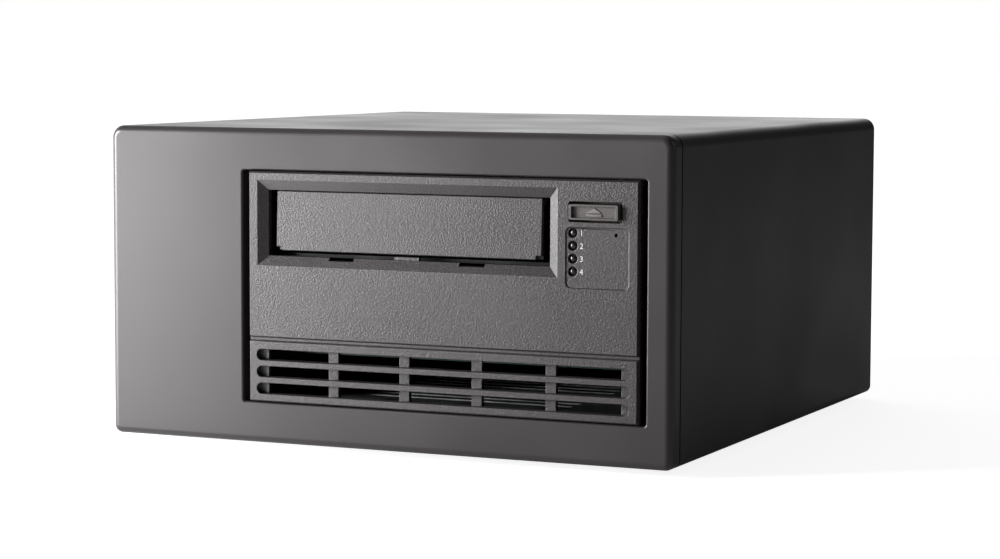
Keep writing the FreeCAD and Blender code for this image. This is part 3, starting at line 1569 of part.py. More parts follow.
def mains_inlet():
    """Three-pin mains inlet that snaps into the back plate, and its pins."""
    z = bottom + S.inlet_level
    face = panel_back + S.inlet_flange
    back = panel_back - S.inlet_depth
    floor = face - S.inlet_cavity
    piece = Piece("mains_inlet")
    piece.pad("XZ", back, panel_back, centred(inlet_x, z, S.inlet_width, S.inlet_height, S.inlet_corner))
    piece.pad("XZ", panel_back, face, centred(
        inlet_x, z, S.inlet_width + S.inlet_rim * 2, S.inlet_height + S.inlet_rim * 2, S.inlet_rim))
    wide = S.inlet_cavity_width / 2
    tall = S.inlet_cavity_height / 2
    cut = S.inlet_cavity_cut
    bend = S.inlet_cavity_corner
    piece.cut("XZ", floor, face, outline(
        (inlet_x - wide, z - tall, bend), (inlet_x + wide, z - tall, bend),
        (inlet_x + wide, z + tall - cut), (inlet_x + wide - cut, z + tall),
        (inlet_x - wide + cut, z + tall), (inlet_x - wide, z + tall - cut)))
    pins = [centred(across, up, S.inlet_pin_width, S.inlet_pin_height) for across, up in inlet_pin_places()]
    piece.cut("XZ", back, floor, *pins)
    blades = Piece("inlet_pins")
    for pin in pins:
        blades.pad("XZ", back - S.inlet_pin_tail, face - S.inlet_pin_setback, pin)


def power_switch():
    """Rocker switch: a snap-in frame and a two-faced rocker on its own pin."""
    z = bottom + S.switch_level
    axis_y = panel_back - S.rocker_setback
    wall = S.switch_wall
    frame = Piece("switch_frame")
    frame.pad("XZ", panel_back - S.switch_depth, panel_back, centred(
        inlet_x, z, S.switch_width, S.switch_height, S.switch_corner))
    frame.pad("XZ", panel_back, panel_back + S.switch_flange, centred(
        inlet_x, z, S.switch_width + S.switch_rim * 2, S.switch_height + S.switch_rim * 2, S.switch_rim))
    frame.cut("XZ", panel_back - S.switch_pocket, panel_back + S.switch_flange, centred(
        inlet_x, z, S.switch_width - wall * 2, S.switch_height - wall * 2, S.switch_corner))
    pin_reach = S.switch_width / 2 - wall / 2
    frame.pad("YZ", inlet_x - pin_reach, inlet_x + pin_reach, circle(axis_y, z, S.rocker_pin_radius))
    rocker = Piece("power_rocker")
    wide = S.switch_width / 2 - wall - S.rocker_play
    tall = S.switch_height / 2 - wall - S.rocker_end_play
    back = -S.rocker_back
    rocker.pad("YZ", -wide, wide, outline(
        (back, -tall + S.rocker_taper), (back, tall - S.rocker_taper), (S.rocker_rise, tall),
        (S.rocker_waist, 0), (S.rocker_rise, -tall)))
    rocker.cut("YZ", -wide, wide, circle(0, 0, S.rocker_pin_radius + S.running_gap))
    rocker.place(inlet_x, axis_y, z)
    rocker.body.Placement.Rotation = FreeCAD.Rotation(FreeCAD.Vector(1, 0, 0), float(S.rocker_tilt))


def fan():
    """Axial fan: the frame with its motor struts and the bladed rotor."""
    near = panel_front - S.fan_thickness
    web = near + S.fan_arm_thickness
    frame = Piece("fan_frame")
    frame.pad("XZ", near, panel_front, centred(fan_x, fan_z, S.fan_size, S.fan_size, S.fan_corner))
    frame.cut("XZ", near, panel_front, circle(fan_x, fan_z, S.fan_bore))
    frame.cut("XZ", near, panel_front, *[
        circle(x, z, S.screw_radius + S.hole_play) for x, z in fan_screw_places()])
    frame.pad("XZ", near, web, circle(fan_x, fan_z, S.fan_hub))
    inside = S.fan_hub - S.fan_arm
    outside = S.fan_bore + S.weld
    side = S.fan_arm / 2
    for turn in FAN_ARMS:
        over = math.cos(math.radians(turn))
        up = math.sin(math.radians(turn))
        frame.pad("XZ", near, web, outline(*[
            (fan_x + reach * over - edge * up, fan_z + reach * up + edge * over)
            for reach, edge in ((inside, -side), (outside, -side), (outside, side), (inside, side))]))
    frame.pad("XZ", web, web + S.fan_pin_length, circle(fan_x, fan_z, S.fan_pin_radius))
    rotor = Piece("fan_rotor")
    bore = S.fan_pin_radius + S.running_gap
    base = S.fan_rotor_gap
    length = S.fan_thickness - S.fan_arm_thickness - S.fan_rotor_gap * 4
    roof = length - S.fan_web
    crown = S.fan_crown
    rotor.turn(outline((bore, base), (S.fan_hub, base), (S.fan_hub, length - crown),
                       (S.fan_hub - crown, length), (0, length), (0, roof), (bore, roof)))
    rise = (length - base) / 2
    blade = rotor.pad("YZ", S.fan_hub - S.blade_bite, S.fan_bore - S.fan_blade_gap, outline(
        *[(across, rise + up * rise) for across, up in BLADE]))
    rotor.ring([blade], FAN_BLADES)
    rotor.place(fan_x, web, fan_z, axis="Y")


def fan_guard():
    """Pressed guard over the fan: four rings, two crossed ribs and an eye for each screw."""
    piece = Piece("fan_guard")
    face = panel_back + S.guard_sheet
    rib = S.guard_rib
    for step in range(GUARD_RINGS):
        radius = S.fan_bore - S.guard_pitch * step
        piece.pad("XZ", panel_back, face, circle(fan_x, fan_z, radius), circle(fan_x, fan_z, radius - rib))
    reach = S.fan_hole_pitch / 2
    for lean in (1, -1):
        piece.pad("XZ", panel_back, face, outline(
            (fan_x - reach - rib / 2, fan_z - (reach - rib / 2) * lean),
            (fan_x - reach + rib / 2, fan_z - (reach + rib / 2) * lean),
            (fan_x + reach + rib / 2, fan_z + (reach - rib / 2) * lean),
            (fan_x + reach - rib / 2, fan_z + (reach + rib / 2) * lean)))
    piece.pad("XZ", panel_back, face, *[circle(x, z, S.guard_eye) for x, z in fan_screw_places()])
    piece.cut("XZ", panel_back, face, *[
        circle(x, z, S.screw_radius + S.hole_play) for x, z in fan_screw_places()])
    group("fan_screws", [screw(x, face, z, "-Y", S.screw_radius, S.fan_screw_length)
                         for x, z in fan_screw_places()])


def data_sockets():
    """Two data sockets with slanted shells, and the jack screws beside them."""
    face = panel_back + S.socket_reach
    plate = panel_front - S.socket_plate
    jacks = []
    for number, level in enumerate(socket_levels, start=1):
        shell = Piece("data_socket_%d" % number)
        shell.pad("XZ", panel_front - S.socket_depth, face, d_shape(level, 0))
        shell.cut("XZ", panel_back, face, d_shape(level, -S.socket_wall))
        shell.pad("XZ", panel_back - S.weld, face - S.socket_tongue_setback, centred(
            socket_x, level, S.socket_tongue_width, S.socket_tongue))
        shell.pad("XZ", plate, panel_front, centred(
            socket_x, level, S.jack_spacing + S.socket_plate_margin, S.socket_height + S.socket_reach))
        shell.cut("XZ", plate, panel_front, *[circle(x, level, S.screw_radius) for x in jack_places()])
        for x in jack_places():
            post = hexagon(x, panel_back, level, "+Y", S.jack_radius, S.jack_length)
            stud = rod(x, panel_back, level, "-Y", S.screw_radius, S.jack_stud)
            bore = rod(x, panel_back + S.jack_length, level, "-Y", S.jack_bore, S.jack_length - S.jack_floor)
            jacks.append(carve(fuse(post, stud), bore))
    group("jack_screws", jacks)


def build():
    """Builds every sub-part."""
    front_bezel()
    top_cover()
    base_chassis()
    rubber_feet()
    rear_panel()
    case_screws()
    unit_frame()
    unit_plates()
    unit_board()
    side_brackets()
    unit_bezel()
    lower_grille()
    tape_door()
    door_fittings()
    eject_button()
    panel_parts()
    cartridge_tray()
    spindles()
    drive_hub()
    take_up_reel()
    guide_rollers()
    head_parts()
    load_motor()
    supply_shell()
    supply_parts()
    mains_inlet()
    power_switch()
    fan()
    fan_guard()
    data_sockets()


def check():
    """Stops if an object failed, a cut removed nothing or a shape is not sound."""
    faults = []
    for item in doc.Objects:
        if "Invalid" in item.State or "Error" in item.State:
            faults.append("%s failed: %s" % (item.Name, item.State))
        if item.TypeId == "PartDesign::Pocket" and item.BaseFeature and not item.Shape.isNull():
            if item.Shape.Volume >= item.BaseFeature.Shape.Volume - 1e-3:
                faults.append("%s removed nothing" % item.Name)
    for piece in PIECES:
        shape = piece.Shape
        if shape.isNull() or not shape.isValid() or not shape.Solids:
            faults.append("%s has no sound shape" % piece.Label)
    if faults:
        raise RuntimeError("\n".join(faults))


build()
doc.recompute()
check()
os.makedirs("parts", exist_ok=True)
for piece in PIECES:
    piece.Shape.exportStep("parts/%s.step" % piece.Label)
print("%d sub-parts written" % len(PIECES))
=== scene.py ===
# %% [markdown]
# # A desktop tape drive, dressed for the camera
#
# The object is a charcoal desktop case about 22 cm wide that holds one tape unit. Its shapes come
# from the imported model. This lesson loads them, gives every surface the finish of the real thing,
# adds the small details that are too fine for the model, and lights the whole in a plain studio.

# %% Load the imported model
import json
import math

import bmesh
import bpy
import numpy as np
from mathutils import Matrix, Vector
from mathutils.bvhtree import BVHTree

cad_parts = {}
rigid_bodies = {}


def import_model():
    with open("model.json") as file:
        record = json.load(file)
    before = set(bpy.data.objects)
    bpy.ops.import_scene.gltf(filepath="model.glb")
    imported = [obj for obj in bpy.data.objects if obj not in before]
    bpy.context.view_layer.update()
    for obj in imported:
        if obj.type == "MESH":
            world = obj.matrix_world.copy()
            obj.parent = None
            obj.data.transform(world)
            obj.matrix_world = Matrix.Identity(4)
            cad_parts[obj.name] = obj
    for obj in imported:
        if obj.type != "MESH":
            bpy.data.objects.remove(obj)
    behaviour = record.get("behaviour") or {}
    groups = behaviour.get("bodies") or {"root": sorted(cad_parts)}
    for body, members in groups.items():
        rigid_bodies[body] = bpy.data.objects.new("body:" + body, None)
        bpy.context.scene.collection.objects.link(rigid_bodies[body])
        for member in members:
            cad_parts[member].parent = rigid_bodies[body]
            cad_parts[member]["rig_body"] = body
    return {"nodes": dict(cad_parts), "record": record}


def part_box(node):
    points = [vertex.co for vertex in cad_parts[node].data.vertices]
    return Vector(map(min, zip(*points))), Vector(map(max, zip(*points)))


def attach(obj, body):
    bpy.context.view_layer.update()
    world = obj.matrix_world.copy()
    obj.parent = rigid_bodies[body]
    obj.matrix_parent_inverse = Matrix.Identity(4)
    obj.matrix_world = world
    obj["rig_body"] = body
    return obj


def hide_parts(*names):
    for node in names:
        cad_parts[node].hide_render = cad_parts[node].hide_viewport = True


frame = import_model()
nodes = frame["nodes"]
body_of_node = {name: part["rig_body"] for name, part in nodes.items()}
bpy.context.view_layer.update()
MM = 0.001

# %% [markdown]
# ## Small helpers
#
# A paint or plastic is quoted in sRGB, as on a colour card, while the renderer counts light in
# linear numbers. One function does that turn. A second one adds a shader node, sets its values and
# joins its inputs in a single line, so that a whole finish reads as a short list. The others start
# an empty material, give a mesh its finish and put a new object into the scene.

# %% Colour, node and object helpers
def tint(card):
    """Linear RGBA of an sRGB hex code.

    Each part c is c / 12.92 up to 0.04045, and ((c + 0.055) / 1.055) to the power 2.4 above.
    """
    c = np.array([int(card[k:k + 2], 16) for k in (1, 3, 5)]) / 255
    linear = np.where(c <= 0.04045, c / 12.92, ((c + 0.055) / 1.055) ** 2.4)
    return (*linear.tolist(), 1.0)


def add(tree, kind, **given):
    """Adds one shader node: a given value sets an option or an input, and a given socket is linked.

    An input goes by its name, with _ for a space, or by its place as i0, i1 and so on.
    """
    node = tree.nodes.new("ShaderNode" + kind)
    inputs = {}
    for key, value in given.items():
        if key in node.bl_rna.properties:
            setattr(node, key, value)
        else:
            inputs[key] = value
    for key, value in inputs.items():
        socket = node.inputs[int(key[1:]) if key[1:].isdigit() else key.replace("_", " ")]
        if isinstance(value, bpy.types.NodeSocket):
            tree.links.new(value, socket)
        else:
            socket.default_value = value
    return node


def new_material(name):
    """An empty node material and its node tree, ready for a shader."""
    made = bpy.data.materials.new(name)
    made.use_nodes = True
    made.node_tree.nodes.clear()
    return made, made.node_tree


def dress(mesh, *materials):
    """Gives a mesh these materials in place of its own."""
    mesh.materials.clear()
    for material in materials:
        mesh.materials.append(material)


def placed(name, data):
    """A new object with this data in the scene, unturned at the origin."""
    made = bpy.data.objects.new(name, data)
    bpy.context.scene.collection.objects.link(made)
    return made


print("charcoal", [round(v, 3) for v in tint("#373334")])

# %% [markdown]
# ## Moulded and painted surfaces
#
# Nearly everything that shows is either satin paint or moulded plastic in one charcoal colour, and
# the eye tells them apart by grain. Paint has a very faint orange peel; the tape unit's plastic was
# moulded against spark-eroded steel, which leaves a sharp even grit. One recipe makes both: a fine
# noise for the grain, a broad noise for the slow change of tone and gloss, and a relief from the
# same grain, so that lit and shaded flanks agree with the light.

# %% One recipe for grained surfaces
NOISE_LOW, NOISE_HIGH = 0.3, 0.7  # nearly all values of the noise lie between these two
GRAIN_DETAIL, GRAIN_ROUGHNESS = 3.0, 0.6
CLOUD_DETAIL = 2.0


def grained(name, card, rough, grain_mm, depth_mm, fleck, metallic=0.0,
            broad_mm=60.0, broad=0.04, spread=0.05):
    """A finish that varies by a fine grain of noise and by a broad cloud of it, both set in mm.

    The colour is the card's, times 1 +- fleck by the grain, times 1 +- broad by the cloud. The
    roughness is rough +- spread by the cloud. The grain is also a relief of depth_mm.
    """
    made, tree = new_material(name)
    place = add(tree, "TexCoord").outputs["Object"]
    grain = add(tree, "TexNoise", Vector=place, Scale=1 / (grain_mm * MM),
                Detail=GRAIN_DETAIL, Roughness=GRAIN_ROUGHNESS).outputs["Fac"]
    cloud = add(tree, "TexNoise", Vector=place, Scale=1 / (broad_mm * MM),
                Detail=CLOUD_DETAIL).outputs["Fac"]
    usual = {"From_Min": NOISE_LOW, "From_Max": NOISE_HIGH}
    flecks = add(tree, "MapRange", Value=grain, To_Min=1 - fleck, To_Max=1 + fleck, **usual)
    clouds = add(tree, "MapRange", Value=cloud, To_Min=1 - broad, To_Max=1 + broad, **usual)
    gloss = add(tree, "MapRange", Value=cloud, To_Min=rough - spread, To_Max=rough + spread, **usual)
    both = add(tree, "Math", operation="MULTIPLY", i0=flecks.outputs["Result"], i1=clouds.outputs["Result"])
    shade = add(tree, "VectorMath", operation="SCALE", i0=tint(card)[:3], Scale=both.outputs["Value"])
    bump = add(tree, "Bump", Height=grain, Strength=1.0, Distance=depth_mm * MM)
    shader = add(tree, "BsdfPrincipled", Base_Color=shade.outputs["Vector"], Metallic=metallic,
                 Roughness=gloss.outputs["Result"], Normal=bump.outputs["Normal"])
    add(tree, "OutputMaterial", Surface=shader.outputs["BSDF"])
    return made


# %% [markdown]
# ## What each finish is
#
# A finish is a name, a colour, a roughness, the width and depth of its grain in millimetres, and
# how strongly the grain flecks the colour. Real grit is finer than the picture can show, so it is
# drawn about twice as coarse: the tape unit's at six tenths of a millimetre.

# %% Finishes
# Powder paint on the sheet steel cover: a satin sheen over a very faint orange peel.
paint = grained("satin charcoal powder paint on sheet steel", "#373334", 0.37, 0.9, 0.014, fleck=0.04)
# The same charcoal sprayed on the moulded front: a little glossier and finer.
front_plastic = grained("satin charcoal paint on a moulded front", "#393536", 0.33, 0.7, 0.012, fleck=0.05)
# The tape unit, moulded against spark-eroded steel: a sparkling grain tells it from the paint.
face_plastic = grained("spark-grained charcoal ABS", "#3c3839", 0.36, 0.6, 0.17, fleck=0.34)
# The button's grain is finer and its grey warmer, which sets it off from the face.
button_plastic = grained("fine-grained charcoal ABS button", "#5a5655", 0.36, 0.5, 0.02, fleck=0.1)
# The raised sign is the button's own plastic. Its paler grey is a painted highlight, and its roughness is a
# little lower.
sign_highlight_plastic = grained("button plastic with painted highlight on the raised sign", "#7d7875", 0.3, 0.5, 0.004, fleck=0.06)
# Nylon of the switch, the inlet, the fan and the reel: nearly black, with a weak sheen. The
# varnished core of the transformer looks the same.
black_plastic = grained("black glass-filled nylon", "#19191a", 0.45, 0.5, 0.02, fleck=0.12)
# Rubber: as black, and quite dull.
rubber = grained("black moulded rubber", "#161616", 0.75, 0.6, 0.03, fleck=0.15)
# Solder mask: a glossy dark green with a faint mottle, as the glass weave under it gives.
board_green = grained("green solder mask on glass fibre", "#17402c", 0.3, 1.2, 0.01, fleck=0.12)
# The frame and the tray of the tape unit are drawn dull black as painted shade. They stand for the dark
# inside of the unit behind the door, though real parts of this kind are bare metal.
shade_black_metal = grained("dull black painted shade on the casting and sheet", "#141416", 0.55, 0.8, 0.02, fleck=0.12)
# Zinc: pale metal, clouded by the large crystals of its plating.
zinc = grained("zinc-plated folded steel", "#b9bcbb", 0.36, 3.0, 0.006, fleck=0.08, metallic=1.0,
               broad_mm=25.0, broad=0.08)
# Nickel on screws, pins and sockets: the clearest mirror of the metals.
bright = grained("bright nickel-plated steel", "#cfcdc8", 0.24, 1.0, 0.004, fleck=0.05, metallic=1.0)
# Aluminium of the motors, rollers and heatsink: grey metal with a frosted grain.
cast = grained("cast and turned aluminium", "#b4b6b8", 0.42, 0.5, 0.02, fleck=0.08, metallic=1.0)
# The lamps are unlit and look black, with one sharp glint each.
lens = grained("smoked acrylic lamp lens", "#262523", 0.12, 0.5, 0.0, fleck=0.05, spread=0.02)
# Pad-printed ink: a flat off-white.
ink = grained("white pad-printed ink", "#e2e0dc", 0.5, 0.3, 0.004, fleck=0.05)

slot_finish = {
    "case_steel": paint, "case_plastic": front_plastic, "unit_plastic": face_plastic,
    "button_plastic": button_plastic, "rubber": rubber, "zinc_steel": zinc, "coated_metal": shade_black_metal,
    "bright_steel": bright, "cast_aluminium": cast, "circuit_board": board_green, "lamp_lens": lens,
    "dark_core": black_plastic, "reel_plastic": black_plastic, "black_plastic": black_plastic,
}
for part in frame["record"]["subparts"]:
    dress(nodes[part["node"]].data, slot_finish[part["material_slot"]])
print(len(slot_finish), "slots dressed")

# %% [markdown]
# ## Rounded edges of the mouldings
#
# No moulded edge is sharp: each one catches a thin line of light. The CAD solids keep their edges
# sharp, so a copy of each visible moulding has its triangles merged into flat faces, gets a Bevel
# modifier and stands for its node. The radii run from an eighth to a half of a millimetre, as a
# mould maker would leave them.

# %% Rounded copies of the mouldings
MERGE = 2e-6  # metres, within which two points are one
FLAT_ANGLE = 0.5  # degrees, within which two triangles lie in one flat face
EDGE_ANGLE = 28  # degrees, above which an edge is a corner that gets a radius
EDGE_SEGMENTS = 2
FACE_WEIGHT = 100  # the most: the shading at a corner follows its largest flat face
# Each moulding: radius in mm, finish, and whether neighbouring edges may hold the radius back.
EDGE_RADII = {
    "front_bezel": (0.5, front_plastic, False), "unit_bezel": (0.13, face_plastic, False),
    "lower_grille": (0.2, face_plastic, False), "tape_door": (0.25, face_plastic, False),
    "eject_button": (0.12, button_plastic, False), "power_rocker": (0.35, black_plastic, True),
    "switch_frame": (0.3, black_plastic, True), "mains_inlet": (0.3, black_plastic, True),
}


def reworked(mesh, mend, sharp):
    """Merges the doubles of a mesh, mends it, and smooths it except at edges above sharp degrees."""
    sheet = bmesh.new()
    sheet.from_mesh(mesh)
    bmesh.ops.remove_doubles(sheet, verts=sheet.verts, dist=MERGE)
    mend(sheet)
    sheet.to_mesh(mesh)
    sheet.free()
    mesh.polygons.foreach_set("use_smooth", np.ones(len(mesh.polygons), bool))
    mesh.set_sharp_from_angle(angle=math.radians(sharp))


def join_flat(sheet):
    """Joins the triangles of each flat face."""
    bmesh.ops.dissolve_limit(sheet, angle_limit=math.radians(FLAT_ANGLE),
                             verts=sheet.verts, edges=sheet.edges)


def rounded(name, radius_mm, material, clamp):
    """A copy of a node whose edges turn in a small radius, standing for the node."""
    mesh = nodes[name].data.copy()
    reworked(mesh, join_flat, EDGE_ANGLE)
    dress(mesh, material)
    piece = placed(name + "_moulding", mesh)
    bevel = piece.modifiers.new("edge radius", "BEVEL")
    bevel.width = radius_mm * MM
    bevel.segments = EDGE_SEGMENTS
    bevel.limit_method = "ANGLE"
    bevel.angle_limit = math.radians(EDGE_ANGLE)
    bevel.use_clamp_overlap = clamp
    even = piece.modifiers.new("flat faces stay flat", "WEIGHTED_NORMAL")
    even.mode = "FACE_AREA"
    even.weight = FACE_WEIGHT
    even.keep_sharp = True
    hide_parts(name)
    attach(piece, body_of_node[name])
    return piece


mouldings = {name: rounded(name, *settings) for name, settings in EDGE_RADII.items()}
print(len(mouldings), "mouldings with rounded edges")

# %% [markdown]
# ## The raised sign of the button
#
# The button carries the usual triangle over a bar. Its faces are the small flat ones in the middle
# of the button that look forward. They get a paler, slightly glossier copy of the button's plastic,
# which is a painted highlight for the light that the raised sign catches.

# %% Painted highlight on the faces of the sign
SIGN_HALF_WIDTH, SIGN_HALF_HEIGHT = 3.2, 2.4  # mm from the button's middle
SIGN_LARGEST_FACE = 9.0  # square mm, above which a face is the button's own
FORWARD = -0.9  # a face whose normal has less than this along Y looks forward


def paint_sign_highlight(piece, node):
    """Gives the small forward faces near the middle of a button the paler material of the painted highlight.
    """
    low, high = (np.array(v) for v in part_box(node))
    middle = (low + high) / 2
    piece.data.materials.append(sign_highlight_plastic)
    count = 0
    for face in piece.data.polygons:
        aside, _, above = np.abs(np.array(face.center) - middle) / MM
        near = aside < SIGN_HALF_WIDTH and above < SIGN_HALF_HEIGHT
        if near and face.normal.y < FORWARD and face.area < SIGN_LARGEST_FACE * MM ** 2:
            face.material_index = 1
            count += 1
    return count


print("sign faces", paint_sign_highlight(mouldings["eject_button"], "eject_button"))

# %% [markdown]
# ## Turned pieces
#
# Screw heads and lamp lenses are turned or pressed round an axis. Each is a surface of revolution:
# a profile of heights and radii, swept round, worked out for all places at once. The height may
# also change round the turn, which presses a cross recess into a screw's head.

# %% Surfaces of revolution
TURNED_EDGE = 40  # degrees, above which an edge of a turned piece is sharp


def face_out(sheet):
    """Turns the faces of closed shells outwards."""
    bmesh.ops.recalc_face_normals(sheet, faces=sheet.faces)


def full_turn(steps):
    """Angles once round, in even steps."""
    return np.linspace(0, 2 * np.pi, steps, endpoint=False)


def turned(name, along, radius, spots, way, material, body, steps):
    """A surface of revolution at each spot, round a way that lies along Y or Z.

    Point (s, a) is spot + way * along(s, a) + radius(s) * (side cos a + other sin a), with side
    along X and other square to both. The profile runs from the tip to the back and touches the
    axis at both ends, where its points merge into a pole.
    """
    way = np.asarray(way, float)
    side = np.array([1.0, 0.0, 0.0])
    other = np.cross(way, side)
    turn = full_turn(steps)
    radius = np.asarray(radius, float)[:, None]
    rows = len(radius)
    along = np.broadcast_to(np.asarray(along, float).reshape(rows, -1), (rows, steps))
    outward = np.cos(turn)[:, None] * side + np.sin(turn)[:, None] * other
    ring = along[..., None] * way + radius[..., None] * outward
    verts = (np.asarray(spots, float)[:, None, None, :] + ring).reshape(-1, 3) * MM
    s, a = np.meshgrid(np.arange(rows - 1), np.arange(steps), indexing="ij")
    b = (a + 1) % steps
    corners = [s * steps + a, (s + 1) * steps + a, (s + 1) * steps + b, s * steps + b]
    quads = np.stack(corners, -1).reshape(-1, 4)
    faces = (quads + (np.arange(len(spots)) * rows * steps)[:, None, None]).reshape(-1, 4)
    mesh = bpy.data.meshes.new(name)
    mesh.from_pydata(verts.tolist(), [], faces.tolist())
    reworked(mesh, face_out, TURNED_EDGE)
    dress(mesh, material)
    piece = placed(name, mesh)
    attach(piece, body)
    return piece


# %% Places of the loose parts of a node
def loose_boxes(name):
    """Low and high corner of each loose part of a node, in mm.

    Each point starts with its own label, and the lowest label flows along the edges until it settles.
    """
    mesh = nodes[name].data
    points = np.empty(len(mesh.vertices) * 3)
    mesh.vertices.foreach_get("co", points)
    points = points.reshape(-1, 3) / MM
    edges = np.empty(len(mesh.edges) * 2, dtype=int)
    mesh.edges.foreach_get("vertices", edges)
    spots, same = np.unique(np.round(points, 3), axis=0, return_inverse=True)
    ends = same.reshape(-1)[edges].reshape(-1, 2)
    label = np.arange(len(spots))
    settled = False
    while not settled:
        lowest = label[ends].min(axis=1)
        before = label.copy()
        np.minimum.at(label, ends[:, 0], lowest)
        np.minimum.at(label, ends[:, 1], lowest)
        settled = np.array_equal(before, label)
    return [(spots[label == k].min(axis=0), spots[label == k].max(axis=0)) for k in np.unique(label)]


print("cover screws", len(loose_boxes("cover_screws")), "fan screws", len(loose_boxes("fan_screws")))

# %% [markdown]
# ## Pan-head screws
#
# The screws of the cover, the fan and the base are pan heads with a cross recess, plated bright. A
# cold header presses the head, and a punch presses the recess. Here the head is a low dome, and
# the recess is subtracted from its height: two crossed slots with sloping flanks.

# %% Pan-head screws
Y, Z = 1, 2
HEAD_RISE = 1.6  # mm, the whole height of a head
DOME_FALL, DOME_POWER = 0.45, 2.5  # the dome falls by this share of the rise, ever more steeply
HEAD_ROWS, HEAD_STEPS = 16, 48
SLOT_HALF, SLOT_FLANK = 0.2, 0.09  # shares of the head's radius, across a slot
SLOT_REACH, SLOT_RUN_OUT = 0.6, 0.25  # shares of the head's radius, along a slot
SLOT_DEPTH = 0.55  # share of the rise
SHANK = 0.5  # share of the head's radius
POINT_LENGTH, POINT_RADIUS = 0.4, 0.6  # shares of the shank's radius, at the chamfered end


def cross_recess(x, y, head):
    """How deep a cross recess is at a place on a head, from 0 to 1: the deeper of two crossed slots.

    A slot along v is 1 inside, and falls to 0 over its flanks and over the run-out at its ends.
    """
    def slot(u, v):
        flanks = np.clip((head * SLOT_HALF - np.abs(u)) / (head * SLOT_FLANK), 0, 1)
        return flanks * np.clip((head * SLOT_REACH - np.abs(v)) / (head * SLOT_RUN_OUT), 0, 1)

    return np.maximum(slot(x, y), slot(y, x))


def pan_screws(node, axis, sign):
    """Cross heads in place of a node's plain screws, which lie along an axis, heads at the sign end.

    Places and sizes come from the boxes of the node's own screws. The crown's height falls from
    the tip by rise * fall * share ** power, with share the part of its radius, and by the recess.
    """
    boxes = loose_boxes(node)
    size = boxes[0][1] - boxes[0][0]
    head, length = size[0] / 2, size[axis]
    tip = sign * max(sign * corner[axis] for box in boxes for corner in box)
    spots = [(low + high) / 2 for low, high in boxes]
    for spot in spots:
        spot[axis] = tip
    way = np.zeros(3)
    way[axis] = sign
    share = np.linspace(0, 1, HEAD_ROWS)
    turn = full_turn(HEAD_STEPS)
    reach = share * head
    dome = -HEAD_RISE * DOME_FALL * share ** DOME_POWER
    x, y = reach[:, None] * np.cos(turn), reach[:, None] * np.sin(turn)
    crown = dome[:, None] - cross_recess(x, y, head) * HEAD_RISE * SLOT_DEPTH
    shank = head * SHANK
    back = [(-HEAD_RISE, head), (-HEAD_RISE, shank), (-length + shank * POINT_LENGTH, shank),
            (-length, shank * POINT_RADIUS), (-length, 0)]
    along = np.concatenate([crown, [[depth] * HEAD_STEPS for depth, _ in back]])
    radius = np.concatenate([reach, [r for _, r in back]])
    piece = turned(node + "_cross_heads", along, radius, spots, way, bright, body_of_node[node], HEAD_STEPS)
    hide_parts(node)
    return piece


for node, axis, sign in (("cover_screws", Y, 1), ("fan_screws", Y, 1), ("bracket_screws", Z, -1)):
    made = pan_screws(node, axis, sign)
    print(made.name, len(made.data.polygons), "faces")

# %% [markdown]
# ## Domed lamp lenses
#
# Behind the four small wells sit the ends of light guides, moulded in smoked acrylic and unlit
# here. Each end is a shallow dome, so it mirrors the window of a soft lamp as one bright spot.

# %% Lamp lenses
LENS_RADIUS, LENS_RISE, LENS_ROOT = 1.08, 0.55, 0.1  # mm: the root closes the dome behind
LENS_ARC = 0.96  # the dome is this much of a half ellipse's width, so its rim stays clear of the guide
LENS_ROWS, LENS_STEPS = 10, 32

lamps = sorted(loose_boxes("status_lenses"), key=lambda box: -box[1][2])
lamp_middles = [(low + high) / 2 for low, high in lamps]
lens_spots = [(middle[0], low[1], middle[2]) for middle, (low, _) in zip(lamp_middles, lamps)]
dome_share = np.linspace(0, 1, LENS_ROWS)
lens_dome = LENS_RISE * np.sqrt(1 - (dome_share * LENS_ARC) ** 2)
turned("lamp_domes", np.append(lens_dome, -LENS_ROOT), np.append(dome_share * LENS_RADIUS, 0.0),
       lens_spots, (0, -1, 0), lens, "enclosure", LENS_STEPS)
print(len(lamps), "lamps at heights", [round(float(middle[2]), 1) for middle in lamp_middles])

# %% [markdown]
# ## Printed numbers and switch marks
#
# Beside each lamp the front carries a short printed mark; here it is a plain number. The rocker
# carries the usual line and ring for on and off. Pad printing lays ink of a few hundredths of a
# millimetre on the surface, so each mark is a flat outline dropped onto the moulding under it.

# %% Printing onto a surface
FONT_CAP = 0.7  # a capital's height as a share of the font's size
INK = 0.03  # mm, the thickness of the ink
DROP = 0.3  # metres from the middle of the case, where the outline is dropped from
NUMBER_CAP, NUMBER_RIGHT, NUMBER_DOWN = 1.9, 2.5, 0.95  # mm, the place from the lamp's middle
SWITCH_CAP = 2.4  # mm
SWITCH_MARKS = {"I": (0.5, 2.6), "O": (1.3, -5.0)}  # mm, lower left corner from the rocker's middle


def printed(name, marks, cap_mm, onto, toward, body):
    """Ink letters dropped along Y onto a node, from before it (toward -1) or behind it (toward 1).

    Marks are (text, x, z), with x and z of the lower left corner in mm.
    """
    mesh = nodes[onto].data
    tree = BVHTree.FromPolygons([v.co[:] for v in mesh.vertices], [p.vertices[:] for p in mesh.polygons])
    verts, faces = [], []
    for text, x, z in marks:
        curve = bpy.data.curves.new(text, "FONT")
        curve.body = text
        curve.size = cap_mm / FONT_CAP
        carrier = placed(text, curve)
        flat = bpy.data.meshes.new_from_object(carrier.evaluated_get(bpy.context.evaluated_depsgraph_get()))
        bpy.data.objects.remove(carrier)
        base = len(verts)
        for v in flat.vertices:
            px, pz = (x - toward * v.co.x) * MM, (z + v.co.y) * MM
            hit = tree.ray_cast(Vector((px, toward * DROP, pz)), Vector((0, -toward, 0)))[0]
            verts.append((px, hit.y + toward * INK * MM, pz))
        faces += [[base + k for k in p.vertices] for p in flat.polygons]
    made = bpy.data.meshes.new(name)
    made.from_pydata(verts, [], faces)
    dress(made, ink)
    piece = placed(name, made)
    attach(piece, body)
    return piece


